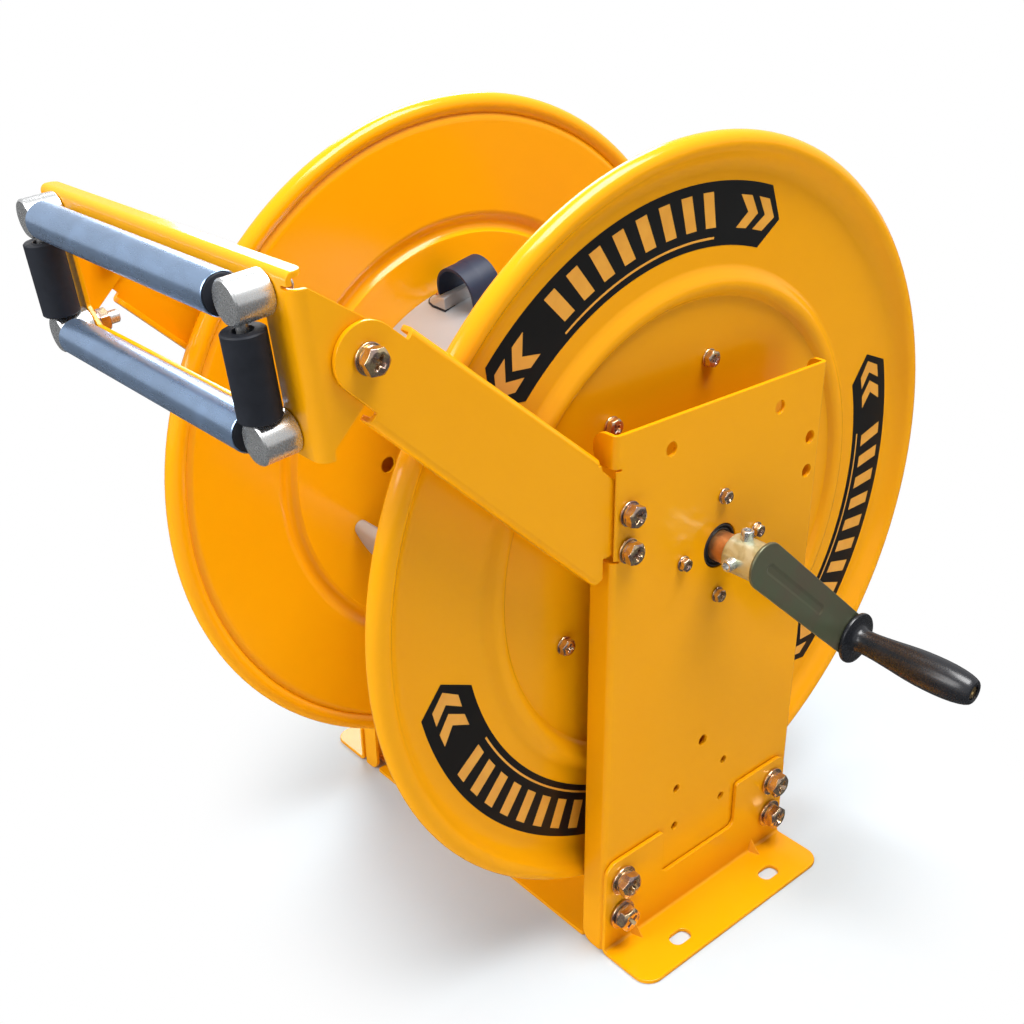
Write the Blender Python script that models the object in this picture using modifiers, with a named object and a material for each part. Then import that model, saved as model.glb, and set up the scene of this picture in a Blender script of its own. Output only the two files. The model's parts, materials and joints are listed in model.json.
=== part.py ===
"""Hand-crank hose reel with a tilting four-roller hose guide.

Metres, +Z up. The reel turns about X, with the crank on +X ("right") and the
roller guide toward -Y (the front). The floor is z = 0, under the reel's centre.
Most pieces are drawn in the axle's own frame, with its origin on the reel's axis.
"""

import math

import bmesh
import bpy
from mathutils import Matrix, Vector

# ---- Fits -------------------------------------------------------------------
GAP = 0.0003  # between faces that touch on the real product
RUNNING = 0.0003  # radial play round a shaft or a pin
HOLE_PLAY = 0.0005  # radial play round a bolt

# ---- Sheet and reel ---------------------------------------------------------
SHEET = 0.003  # frame, arms and guide
SKIN = 0.002  # discs and drum plates
DISC_RADIUS = 0.250
WINDING_WIDTH = 0.216  # between the discs' inner faces
RIM_RADIUS = 0.0068  # rolled edge of a disc
RIM_OFFSET = 0.0052  # rolled edge's centre, outward from the inner face
BEAD_RADIUS = 0.161  # pressed stiffening ring
BEAD_HALF_WIDTH = 0.0065
BEAD_HEIGHT = 0.005
SIGHT_HOLE_RADIUS = 0.00625
SIGHT_HOLE_AT = (0.078, 182)  # radius, degrees
DRUM_RADIUS = 0.120
DRUM_PLATE_CENTRES = (105, 225, 345)
DRUM_HEM_RADIUS = 0.0056  # tube along a plate's edge, which the disc bolts screw into
DRUM_BOLT_SPREAD = 22.3  # degrees each side of a plate's centre
DRUM_BOLT_REACH = 0.014  # of a disc bolt in its hem

# ---- Axle -------------------------------------------------------------------
SHAFT_RADIUS = 0.010
SHAFT_BORE = 0.006
AXLE_TUBE_RADIUS = 0.017
AXLE_TUBE_BORE = 0.011
AXLE_FLANGE_RADIUS = 0.032
AXLE_FLANGE_THICKNESS = 0.006
AXLE_STUD_CIRCLE = 0.024
AXLE_STUD_ANGLES = (30, 150, 270)
AXLE_STUB = 0.024  # beyond the left pedestal
BEARING_FLANGE_RADIUS = 0.043
BEARING_FLANGE_THICKNESS = 0.005
BEARING_BOSS_RADIUS = 0.022
BEARING_BOSS_LENGTH = 0.0067
BEARING_BOLT_CIRCLE = 0.035
BEARING_SPIGOT_RADIUS = 0.0147

# ---- Frame ------------------------------------------------------------------
FLOOR_CLEARANCE = 0.030
RIM_CLEARANCE = 0.0028
PEDESTAL_HALF_WIDTH = 0.0965  # to its front edge
PEDESTAL_REAR = 0.0935  # to its rear edge
PEDESTAL_FLANGE = 0.0185
PEDESTAL_BEND = 0.004
PEDESTAL_TOP = 0.1004
FLANGE_CORNER = 0.009
NOTCH_BOTTOM = 0.0203
NOTCH_TOP = 0.0800
NOTCH_DEPTH = 0.0043
FOOT_INSET = 0.003
FOOT_SHIFT = -0.0035  # the foot sits a little forward of the axis
FOOT_HEIGHT = 0.077
FOOT_REACH = 0.0440  # outward from the pedestal's face
FOOT_CUTOUT_HALF = 0.038
FOOT_CUTOUT_FLOOR = 0.0415
FOOT_CUTOUT_CORNER = 0.006
FOOT_CORNER = 0.012
FOOT_BOLT_INSET = 0.018
FOOT_BOLT_HEIGHTS = (0.0285, 0.0582)
FOOT_BEND = 0.0035  # to the middle of the sheet, as for the base plate
SLOT_HALF_WIDTH = 0.0052
SLOT_HALF_LENGTH = 0.0083
SLOT_REACH = 0.0281
SLOT_Y = 0.048
GUSSET_Y = 0.065
GUSSET_LEG = 0.013
GUSSET_WIDTH = 0.006
BASE_INSET = 0.0005
BASE_TONGUE_INSET = 0.0105
BASE_UPSTAND = 0.070
SPARE_HOLE_Y = 0.050  # for a guide arm in a second position
SPARE_HOLE_DROP = 0.020  # below the pedestal's top
PLATE_HOLE = (-0.0032, -0.1486, 0.004)  # y, z and radius
SMALL_HOLE_Y = (-0.0277, 0.021)
SMALL_HOLE_Z = (-0.177, -0.209)
SMALL_HOLE_RADIUS = 0.003

# ---- Hose guide -------------------------------------------------------------
GUIDE_CLEARANCE = 0.0625  # from the discs' rim to the guide's pivot
GUIDE_DIRECTION = 144.4  # degrees, of the pivot as seen along the axle
GUIDE_LEAN = 5.8  # degrees, top of the guide toward the front
ARM_END_RADIUS = 0.0175
ARM_EDGE_RADIUS = 0.0235  # from the guide's pivot to the faces of the arm's flanges
ARM_RELIEF = 0.0038  # depth of the step where a flange starts
ARM_FLANGE = 0.012
ARM_BEND = 0.004
ARM_BOLT_INSET = 0.0118  # from the pedestal's front edge
ARM_BOLT_HEIGHTS = (0.0265, 0.0505)
ARM_ELBOW = 0.0045  # from the pedestal's edge to where the arm widens
ARM_TOP_SHOULDER = (0.0079, 0.0080)  # forward of the pedestal's edge, above its notch
ARM_TOP_ELBOW = (0.0068, 0.0017)
ARM_LOW_SHOULDER = (0.0087, 0.0131)  # forward of the edge, below the notch
ARM_LOW_ELBOW = 0.0118  # below the notch
ARM_NECK = (0.0045, 0.0063)  # above the notch's bottom, below its top
ARM_FLANGE_GAPS = (0.0153, 0.0216)  # from the nose to the top and bottom flanges
ARM_FLANGE_CORNER = 0.005
TONGUE_BELOW = 0.014  # of the lower bolt
TONGUE_ABOVE = 0.0175  # of the upper bolt
TONGUE_BEHIND = 0.014
TONGUE_CHAMFER = 0.006
TONGUE_NECK = 0.004
GUIDE_FRONT = 0.0304  # pivot to the front face
GUIDE_MARGIN = 0.0007  # of plate beyond the posts
GUIDE_RISE = 0.0013  # middle of the roller window above the pivot
GUIDE_BEND = 0.008
GUIDE_LIP = 0.010
GUIDE_LIP_BEND = 0.0025
GUIDE_LIP_CORNER = 0.006
GUIDE_LIP_INSET = 0.0035  # from the ear's outer face
GUIDE_RELIEF = (0.0007, 0.0015)  # width and height of the notch under the lip
EAR_TOP_INSET = 0.0078  # from the plate's edges to the ear's root
EAR_BOTTOM_INSET = 0.0056
EAR_RADIUS = 0.016
WINDOW_INSETS = (0.0027, 0.0018)  # from the posts' axes, across and up
WINDOW_CHAMFER = 0.010
POST_RADIUS = 0.011
POST_LENGTH = 0.0195
POST_INSET = 0.024  # from the ear's outer face
POST_Z = 0.0338
ROLLER_RADIUS = 0.0106
ROLLER_STANDOFF = 0.0137  # roller axis in front of the guide plate
ROLLER_PLAY = 0.0024  # length of roller that is missing between its posts
ROLLER_CORE = 0.005
PIN_RADIUS = 0.003
PIN_SEAT = 0.0065  # depth of a pin in its post

# ---- Crank ------------------------------------------------------------------
HUB_START = 0.0110  # outward from the pedestal's face
HUB_LENGTH = 0.0242
HUB_RADIUS = 0.0128
CRANK_LENGTH = 0.1415
CRANK_ANGLE = -41.5  # degrees
CRANK_THICKNESS = 0.0025
CRANK_HUB_END = 0.016
CRANK_GRIP_END = 0.014
GROOVE_HALF_WIDTH = 0.0035
GROOVE_SPAN = (0.012, 0.083)
GROOVE_DEPTH = 0.0008
SET_SCREW_RADIUS = 0.004
SET_SCREW_AT = 0.0096  # along the hub
SET_SCREW_LENGTH = 0.0085
GRIP_BOLT_RADIUS = 0.004
GRIP_BOLT_HEAD = 0.0045
GRIP_HEAD_HEIGHT = 0.003
GRIP_NUT_RADIUS = 0.0075  # over its corners
GRIP_NUT_HEIGHT = 0.0065
GRIP_BOLT_TIP = 0.0013  # beyond the nut
# Radius and distance from the collar's face, along the grip.
GRIP_PROFILE = (
    (0.0185, 0.0),
    (0.0185, 0.003),
    (0.0097, 0.0045),
    (0.0087, 0.009),
    (0.0096, 0.025),
    (0.0112, 0.038),
    (0.0125, 0.056),
    (0.0123, 0.072),
    (0.0108, 0.083),
    (0.0085, 0.090),
    (0.0056, 0.0917),
)
GRIP_COUNTERBORE = 0.0042

# ---- Hose connections -------------------------------------------------------
CLAMP_ANGLE = 100.8  # degrees
CLAMP_INSET = 0.030  # from the left disc
CLAMP_RADIUS = 0.020
CLAMP_BAND = 0.0023
CLAMP_HEIGHT = 0.0288
CLAMP_HALF_LENGTH = 0.013
SADDLE_HEIGHT = 0.009
SADDLE_LENGTH = 0.0264
SADDLE_WALL = 0.001  # from the strap's middle to the upright wall
SADDLE_NOSE = (0.0077, 0.0070, 0.0045)  # how far the rounded front runs past the strap
SADDLE_STEPS = (0.0115, 0.004)  # where the rounded front turns, from the tip
SADDLE_SHELF = 0.009  # width of the level top
SADDLE_TIP = 0.0015  # height of the tip above the drum
STRAP_FOOT = 0.0063  # height of the strap's left foot above the drum
RISER_ANGLE = 45  # degrees
RISER_RADIUS = 0.011
RISER_HEIGHT = 0.068  # where the elbow starts
RISER_TURN = 0.020
RISER_END = 0.036
RISER_NUT_RADIUS = 0.0154  # over its corners
RISER_NUT_SPAN = (0.002, 0.012)  # back from the elbow's end
SWIVEL_RADIUS = 0.019
SWIVEL_LENGTH = 0.042
SWIVEL_TAIL = 0.048
SWIVEL_CLEARANCE = 0.0022  # from the pedestal
SWIVEL_OUTLET = 0.007  # beyond the axle's end
SWIVEL_TAIL_RADIUS = 0.0125
SWIVEL_NUT_RADIUS = 0.017  # over its corners
SWIVEL_NUT_SPAN = (0.024, 0.034)  # below the axis

# ---- Fasteners: shank radius, across flats, head and nut height, washer -----
BOLTS = {
    "M5": (0.0025, 0.008, 0.0038, 0.004, 0.0052, 0.001),
    "M6": (0.003, 0.010, 0.0045, 0.005, 0.006, 0.0012),
    "M8": (0.004, 0.013, 0.0053, 0.0065, 0.008, 0.0016),
    "M10": (0.005, 0.016, 0.0064, 0.008, 0.0108, 0.002),
}

# ---- Worked out from the above ----------------------------------------------
AXIS_HEIGHT = DISC_RADIUS + FLOOR_CLEARANCE
DISC_INNER = WINDING_WIDTH / 2
DISC_OUTER = DISC_INNER + SKIN
RIM_OUTER = DISC_INNER + RIM_OFFSET + RIM_RADIUS
PEDESTAL_X = RIM_OUTER + RIM_CLEARANCE + PEDESTAL_FLANGE
ARM_X = PEDESTAL_X - SHEET - GAP
EAR_X = ARM_X - SHEET - GAP
HUB_X = PEDESTAL_X + HUB_START
CRANK_X = HUB_X + HUB_LENGTH + GAP
GRIP_X = CRANK_X + CRANK_THICKNESS + GAP
GUIDE_REACH = DISC_RADIUS + GUIDE_CLEARANCE
GUIDE_PIVOT = Vector(
    (
        0,
        GUIDE_REACH * math.cos(math.radians(GUIDE_DIRECTION)),
        GUIDE_REACH * math.sin(math.radians(GUIDE_DIRECTION)),
    )
)
FOOT_BOLT_Z = tuple(height - AXIS_HEIGHT for height in FOOT_BOLT_HEIGHTS)
FOOT_HALF_WIDTH = PEDESTAL_HALF_WIDTH - FOOT_INSET
FOOT_BOLT_Y = tuple(FOOT_SHIFT + sign * (PEDESTAL_HALF_WIDTH - FOOT_BOLT_INSET) for sign in (-1, 1))
FOOT_BOLT_HOLE = BOLTS["M10"][0] + HOLE_PLAY
BASE_HALF_WIDTH = PEDESTAL_HALF_WIDTH - BASE_INSET
BASE_TONGUE_HALF = PEDESTAL_HALF_WIDTH - BASE_TONGUE_INSET
NOTCH_EDGE = PEDESTAL_HALF_WIDTH - NOTCH_DEPTH
ARM_BOLT_Y = ARM_BOLT_INSET - PEDESTAL_HALF_WIDTH
DRUM_BOLT_RADIUS = DRUM_RADIUS - DRUM_HEM_RADIUS
CLAMP_X = CLAMP_INSET - DISC_INNER
POST_X = EAR_X - POST_INSET
GUIDE_HALF_HEIGHT = POST_Z + POST_RADIUS + GUIDE_MARGIN
WINDOW_HALF_WIDTH = POST_X - WINDOW_INSETS[0]
WINDOW_HALF_HEIGHT = POST_Z - WINDOW_INSETS[1]
EAR_ROOT_TOP = GUIDE_RISE + GUIDE_HALF_HEIGHT - EAR_TOP_INSET
EAR_ROOT_BOTTOM = GUIDE_RISE - GUIDE_HALF_HEIGHT + EAR_BOTTOM_INSET
FOOT_X = PEDESTAL_X + GAP
AXLE_LEFT_END = -(PEDESTAL_X + AXLE_STUB)
GUIDE_MIDDLE = -GUIDE_FRONT + SHEET / 2
ROLLER_Y = -GUIDE_FRONT - ROLLER_STANDOFF

ROUND = 48  # facets round a disc
PLATE_ROUND = 9  # and along a drum plate
SMALL_ROUND = 16
HOLE_ROUND = 8
LARGE_BORE = 0.008  # bores wider than this get more facets

# Planes for flat outlines: where the drawing's x, y and depth point.
PLANE_XY = Matrix.Identity(4)
PLANE_YZ = Matrix(((0, 0, 1, 0), (1, 0, 0, 0), (0, 1, 0, 0), (0, 0, 0, 1)))
PLANE_XZ = Matrix(((1, 0, 0, 0), (0, 0, -1, 0), (0, 1, 0, 0), (0, 0, 0, 1)))
SIDES = (("right", 1), ("left", -1))


# ---- Scene ------------------------------------------------------------------
def clear_scene():
    for obj in list(bpy.data.objects):
        bpy.data.objects.remove(obj)


def new_collection(name, helper=False):
    collection = bpy.data.collections.new(name)
    collection.hide_render = helper
    bpy.context.scene.collection.children.link(collection)
    return collection


clear_scene()
PARTS = new_collection("hose_reel")
CUTTERS = new_collection("cutters", helper=True)


def material(name, colour, roughness, metallic):
    made = bpy.data.materials.new(name)
    made.use_nodes = True
    shader = made.node_tree.nodes["Principled BSDF"]
    shader.inputs["Base Color"].default_value = (*colour, 1)
    shader.inputs["Roughness"].default_value = roughness
    shader.inputs["Metallic"].default_value = metallic
    return made


YELLOW = material("yellow_powder_coat", (0.87, 0.38, 0.005), 0.3, 0.0)
GALVANISED = material("galvanised_sheet", (0.55, 0.52, 0.50), 0.4, 0.9)
ZINC = material("bright_zinc", (0.62, 0.62, 0.60), 0.3, 1.0)
PASSIVATED = material("yellow_passivated_steel", (0.60, 0.45, 0.22), 0.3, 1.0)
OLIVE = material("olive_passivated_steel", (0.10, 0.12, 0.06), 0.35, 0.8)
RUBBER = material("black_rubber", (0.015, 0.016, 0.018), 0.5, 0.0)
PLASTIC = material("black_plastic", (0.008, 0.008, 0.009), 0.2, 0.0)
CAST = material("bearing_polymer", (0.03, 0.03, 0.03), 0.5, 0.0)
BRASS = material("brass", (0.70, 0.48, 0.20), 0.3, 1.0)


def empty(name, location, rotation=(0, 0, 0)):
    made = bpy.data.objects.new(name, None)
    made.location = location
    made.rotation_euler = rotation
    PARTS.objects.link(made)
    return made


def piece(name, mesh, look, parent, matrix=None):
    """One sub-part, placed by a matrix in its parent's frame."""
    made = bpy.data.objects.new(name, mesh)
    if not mesh.materials:
        mesh.materials.append(look)
    mesh.shade_smooth()
    mesh.set_sharp_from_angle(angle=math.radians(35))
    made.parent = parent
    made.matrix_basis = matrix or Matrix.Identity(4)
    PARTS.objects.link(made)
    return made


def helper(mesh, like=None):
    """A hidden tool for a Boolean, in the frame of the object that it works on."""
    made = bpy.data.objects.new("tool_" + mesh.name, mesh)
    made.hide_render = True
    made.display_type = "WIRE"
    if like:
        made.parent = like.parent
        made.matrix_basis = like.matrix_basis
    CUTTERS.objects.link(made)
    return made


def boolean(obj, mesh, operation="DIFFERENCE"):
    modifier = obj.modifiers.new(operation.lower(), "BOOLEAN")
    modifier.operation = operation
    modifier.solver = "EXACT"
    modifier.object = helper(mesh, obj)


def solidify(obj, thickness):
    modifier = obj.modifiers.new("sheet", "SOLIDIFY")
    modifier.thickness = thickness
    modifier.offset = 0
    modifier.use_even_offset = True


def evaluated_mesh(obj):
    bpy.context.view_layer.update()
    graph = bpy.context.evaluated_depsgraph_get()
    return bpy.data.meshes.new_from_object(obj.evaluated_get(graph))


# ---- Shapes -----------------------------------------------------------------
def finished(bm, name):
    bmesh.ops.recalc_face_normals(bm, faces=bm.faces)
    mesh = bpy.data.meshes.new(name)
    bm.to_mesh(mesh)
    bm.free()
    return mesh


def add_rod(bm, start, end, radius, sides=SMALL_ROUND, turn=0.0):
    """A cylinder or, with few sides, a prism between two points."""
    start, end = Vector(start), Vector(end)
    along = end - start
    place = Matrix.Translation((start + end) / 2) @ along.to_track_quat("Z", "Y").to_matrix().to_4x4()
    bmesh.ops.create_cone(
        bm,
        cap_ends=True,
        segments=sides,
        radius1=radius,
        radius2=radius,
        depth=along.length,
        matrix=place @ Matrix.Rotation(turn, 4, "Z"),
    )


def rods(name, *rows, sides=SMALL_ROUND):
    """Several cylinders in one mesh, each given as start, end and radius."""
    bm = bmesh.new()
    for start, end, radius in rows:
        add_rod(bm, start, end, radius, sides)
    return finished(bm, name)


def bores(name, *rows, sides=0):
    """Like rods, with each cylinder's flats at its radius, so that a shaft of it still fits."""
    bm = bmesh.new()
    for start, end, radius in rows:
        count = sides or (SMALL_ROUND if radius > LARGE_BORE else HOLE_ROUND)
        add_rod(bm, start, end, radius / math.cos(math.pi / count), count)
    return finished(bm, name)


def arc(centre, radius, start, end, steps):
    """Points along an arc, from start to end in degrees."""
    points = []
    for step in range(steps + 1):
        angle = math.radians(start + (end - start) * step / steps)
        points.append((centre[0] + radius * math.cos(angle), centre[1] + radius * math.sin(angle)))
    return points


def slot(centre, half_width, half_length):
    """An outline with round ends, long in the drawing's y."""
    straight = half_length - half_width
    top = (centre[0], centre[1] + straight)
    bottom = (centre[0], centre[1] - straight)
    return arc(top, half_width, 0, 180, 6) + arc(bottom, half_width, 180, 360, 6)


def prism(name, loops, near, far, plane=PLANE_YZ):
    """Flat outlines, holes among them, extruded between two depths of their plane."""
    curve = bpy.data.curves.new(name, "CURVE")
    curve.dimensions = "2D"
    curve.fill_mode = "BOTH"
    curve.extrude = (far - near) / 2
    for loop in loops:
        spline = curve.splines.new("POLY")
        spline.points.add(len(loop) - 1)
        spline.use_cyclic_u = True
        for point, (across, up) in zip(spline.points, loop):
            point.co = (across, up, 0, 1)
    drawn = bpy.data.objects.new(name, curve)
    CUTTERS.objects.link(drawn)
    flat = evaluated_mesh(drawn)
    bpy.data.objects.remove(drawn)
    bm = bmesh.new()
    bm.from_mesh(flat)
    bmesh.ops.remove_doubles(bm, verts=bm.verts, dist=1e-6)
    bmesh.ops.transform(bm, matrix=plane @ Matrix.Translation((0, 0, (near + far) / 2)), verts=bm.verts)
    return finished(bm, name)


def turned(name, profile, steps=SMALL_ROUND, closed=True, start=0.0, span=360.0):
    """A profile of (radius, x) points turned about X, from a start angle in degrees."""
    bm = bmesh.new()
    angle = math.radians(start)
    verts = [
        bm.verts.new((along, radius * math.cos(angle), radius * math.sin(angle)))
        for radius, along in profile
    ]
    for first, second in zip(verts, verts[1:] + verts[:1] * closed):
        bm.edges.new((first, second))
    mesh = bpy.data.meshes.new(name)
    bm.to_mesh(mesh)
    bm.free()
    lathe = bpy.data.objects.new(name, mesh)
    CUTTERS.objects.link(lathe)
    screw = lathe.modifiers.new("turn", "SCREW")
    screw.axis = "X"
    screw.angle = math.radians(span)
    screw.steps = steps
    screw.render_steps = steps
    screw.use_merge_vertices = span == 360.0
    screw.merge_threshold = 1e-5
    made = evaluated_mesh(lathe)
    bpy.data.objects.remove(lathe)
    bm = bmesh.new()
    bm.from_mesh(made)
    return finished(bm, name)


def folded_sheet(name, corners, flanges, bend, corner):
    """An open surface: one flat face, and flanges folded from some of its edges.

    A flange is the index of its edge's first corner and the vector to its free edge.
    """
    bm = bmesh.new()
    verts = [bm.verts.new(point) for point in corners]
    bm.faces.new(verts)
    folds = []
    free_corners = []
    for index, vector in flanges:
        edge = bm.edges.get((verts[index], verts[(index + 1) % len(verts)]))
        grown = bmesh.ops.extrude_edge_only(bm, edges=[edge])["geom"]
        free = [item for item in grown if isinstance(item, bmesh.types.BMVert)]
        bmesh.ops.translate(bm, vec=vector, verts=free)
        folds.append(edge)
        free_corners += free
    bmesh.ops.bevel(bm, geom=free_corners, offset=corner, segments=3, profile=0.5, affect="VERTICES")
    bmesh.ops.bevel(bm, geom=folds, offset=bend, segments=3, profile=0.5, affect="EDGES")
    return finished(bm, name)


def fused(name, meshes):
    """Overlapping closed meshes joined into one."""
    base = helper(meshes[0])
    for mesh in meshes[1:]:
        boolean(base, mesh, "UNION")
    made = evaluated_mesh(base)
    made.name = name
    for obj in [modifier.object for modifier in base.modifiers] + [base]:
        bpy.data.objects.remove(obj)
    return made


# ---- Fasteners --------------------------------------------------------------
def bolt_meshes(size, grip, nut=True):
    """Bolt along Z: its washer seats on z = 0, and its nut under the clamped sheets."""
    shank, flats, head, nut_height, washer, washer_height = BOLTS[size]
    corner = flats / 2 / math.cos(math.pi / 6)
    under = -grip - GAP
    tip = under - nut_height / 2 if nut else under
    seat = GAP + washer_height
    shapes = [
        ((0, 0, tip), (0, 0, seat + head / 2), shank, 6),
        ((0, 0, seat - washer_height / 2), (0, 0, seat + head), corner, 6),
    ]
    if washer:
        shapes.append(((0, 0, GAP), (0, 0, seat), washer, 12))
    if nut:
        shapes.append(((0, 0, under - nut_height), (0, 0, under), corner, 6))
    meshes = []
    for start, end, radius, sides in shapes:
        bm = bmesh.new()
        add_rod(bm, start, end, radius, sides)
        meshes.append(finished(bm, "bolt"))
    return meshes


def facing(point, direction):
    """The frame at a point whose Z looks along a direction."""
    return Matrix.Translation(point) @ Vector(direction).to_track_quat("Z", "Y").to_matrix().to_4x4()


def moved(mesh, matrix):
    made = mesh.copy()
    made.transform(matrix)
    return made


def bolt_mesh(name, size, grip, nut=True):
    return fused(name, bolt_meshes(size, grip, nut))


def polar(radius, degrees, along=0.0):
    angle = math.radians(degrees)
    return Vector((along, radius * math.cos(angle), radius * math.sin(angle)))


# ---- Frame ------------------------------------------------------------------
def frame_hole_rows(side):
    """Bores through a pedestal's plate: start, end, radius."""
    m8 = BOLTS["M8"][0] + HOLE_PLAY
    m5 = BOLTS["M5"][0] + HOLE_PLAY
    places = [(0, 0, BEARING_SPIGOT_RADIUS + GAP)]
    for degrees in (0, 90, 180, 270):
        spot = polar(BEARING_BOLT_CIRCLE, degrees)
        places.append((spot.y, spot.z, m5))
    for height in ARM_BOLT_HEIGHTS:
        places += [(ARM_BOLT_Y, height, m8), (-ARM_BOLT_Y, height, m8)]
    places += [(y, PEDESTAL_TOP - SPARE_HOLE_DROP, m8) for y in (-SPARE_HOLE_Y, SPARE_HOLE_Y)]
    places.append(PLATE_HOLE)
    places += [(y, z, SMALL_HOLE_RADIUS) for y in SMALL_HOLE_Y for z in SMALL_HOLE_Z]
    places += [(y, z, FOOT_BOLT_HOLE) for y in FOOT_BOLT_Y for z in FOOT_BOLT_Z]
    near, far = side * (PEDESTAL_X - 2 * SHEET), side * (PEDESTAL_X + SHEET)
    return [((near, y, z), (far, y, z), radius) for y, z, radius in places]


def pedestal(name, side, frame):
    x = side * (PEDESTAL_X - SHEET / 2)
    edge = PEDESTAL_HALF_WIDTH - SHEET / 2
    rear = PEDESTAL_REAR - SHEET / 2
    outline = [
        (-edge, -AXIS_HEIGHT),
        (-edge, NOTCH_BOTTOM),
        (-NOTCH_EDGE, NOTCH_BOTTOM),
        (-NOTCH_EDGE, NOTCH_TOP),
        (-edge, NOTCH_TOP),
        (-edge, PEDESTAL_TOP),
        (rear, PEDESTAL_TOP),
        (rear, -AXIS_HEIGHT),
    ]
    inward = Vector((-side * (PEDESTAL_FLANGE - SHEET / 2), 0, 0))
    flanges = [(0, inward), (4, inward), (6, inward)]
    bend = PEDESTAL_BEND - SHEET / 2
    mesh = folded_sheet(name, [(x, y, z) for y, z in outline], flanges, bend, FLANGE_CORNER)
    made = piece(name, mesh, YELLOW, frame)
    solidify(made, SHEET)
    boolean(made, bores("pedestal_holes", *frame_hole_rows(side)))


def foot_bracket(name, side, frame):
    """Angle outside a pedestal: an upright with a cut-out, and a slotted foot."""
    x = side * (FOOT_X + SHEET / 2)
    bottom = -AXIS_HEIGHT + SHEET / 2
    top = -AXIS_HEIGHT + FOOT_HEIGHT
    low = -AXIS_HEIGHT + FOOT_CUTOUT_FLOOR
    half = [
        (FOOT_HALF_WIDTH, bottom),
        (FOOT_HALF_WIDTH, top - FOOT_CORNER),
        (FOOT_HALF_WIDTH - FOOT_CORNER, top),
        (FOOT_CUTOUT_HALF, top),
        (FOOT_CUTOUT_HALF, low + FOOT_CUTOUT_CORNER),
        (FOOT_CUTOUT_HALF - FOOT_CUTOUT_CORNER, low),
    ]
    outline = half + [(-y, z) for y, z in reversed(half)]
    outline = [(y + FOOT_SHIFT, z) for y, z in outline]
    last = len(outline) - 1
    outward = Vector((side * (FOOT_REACH - SHEET / 2), 0, 0))
    mesh = folded_sheet(name, [(x, y, z) for y, z in outline], [(last, outward)], FOOT_BEND, FOOT_CORNER)
    made = piece(name, mesh, YELLOW, frame)
    solidify(made, SHEET)
    for y in (-GUSSET_Y, GUSSET_Y):
        boolean(made, gusset(side, y), "UNION")
    near, far = side * (FOOT_X - SHEET), side * (FOOT_X + 2 * SHEET)
    holes = [
        ((near, y, z), (far, y, z), FOOT_BOLT_HOLE) for y in FOOT_BOLT_Y for z in FOOT_BOLT_Z
    ]
    boolean(made, bores("foot_bolt_holes", *holes))
    spots = [(side * (PEDESTAL_X + SLOT_REACH), y) for y in (-SLOT_Y, SLOT_Y)]
    slots = [slot(spot, SLOT_HALF_WIDTH, SLOT_HALF_LENGTH) for spot in spots]
    boolean(made, prism("slots", slots, -AXIS_HEIGHT - SHEET, -AXIS_HEIGHT + 2 * SHEET, PLANE_XY))


def gusset(side, y):
    """Triangular rib pressed into the angle's inner corner."""
    corner_x = FOOT_X + SHEET / 2
    corner_z = -AXIS_HEIGHT + SHEET / 2
    leg = GUSSET_LEG + SHEET / 2
    outline = [
        (side * corner_x, corner_z),
        (side * (corner_x + leg), corner_z),
        (side * corner_x, corner_z + leg),
    ]
    return prism("gusset", [outline], -y - GUSSET_WIDTH / 2, -y + GUSSET_WIDTH / 2, PLANE_XZ)


def base_plate(frame):
    """Floor sheet between the pedestals, with an upstand inside each of them."""
    z = -AXIS_HEIGHT + SHEET / 2
    shoulder = PEDESTAL_X - PEDESTAL_FLANGE - GAP
    end = ARM_X - SHEET / 2
    quarter = [
        (shoulder, -BASE_HALF_WIDTH),
        (shoulder, -BASE_TONGUE_HALF),
        (end, -BASE_TONGUE_HALF),
        (end, BASE_TONGUE_HALF),
        (shoulder, BASE_TONGUE_HALF),
        (shoulder, BASE_HALF_WIDTH),
    ]
    outline = quarter + [(-x, -y) for x, y in quarter]
    up = Vector((0, 0, BASE_UPSTAND))
    corners = [(x, y, z) for x, y in outline]
    mesh = folded_sheet("base_plate", corners, [(2, up), (8, up)], FOOT_BEND, FLANGE_CORNER)
    made = piece("base_plate", mesh, YELLOW, frame)
    solidify(made, SHEET)
    holes = []
    for _, side in SIDES:
        near, far = side * (ARM_X - 2 * SHEET), side * (ARM_X + SHEET)
        for y in FOOT_BOLT_Y:
            holes += [((near, y, z), (far, y, z), FOOT_BOLT_HOLE) for z in FOOT_BOLT_Z]
    boolean(made, bores("base_holes", *holes))


def tangent_point(centre, radius, point, turn):
    """Where the line from a point touches a circle, on the side that turn picks."""
    along = Vector(point) - Vector(centre)
    spread = turn * math.acos(radius / along.length)
    angle = math.atan2(along.y, along.x) + spread
    return Vector((centre[0] + radius * math.cos(angle), centre[1] + radius * math.sin(angle)))


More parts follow.
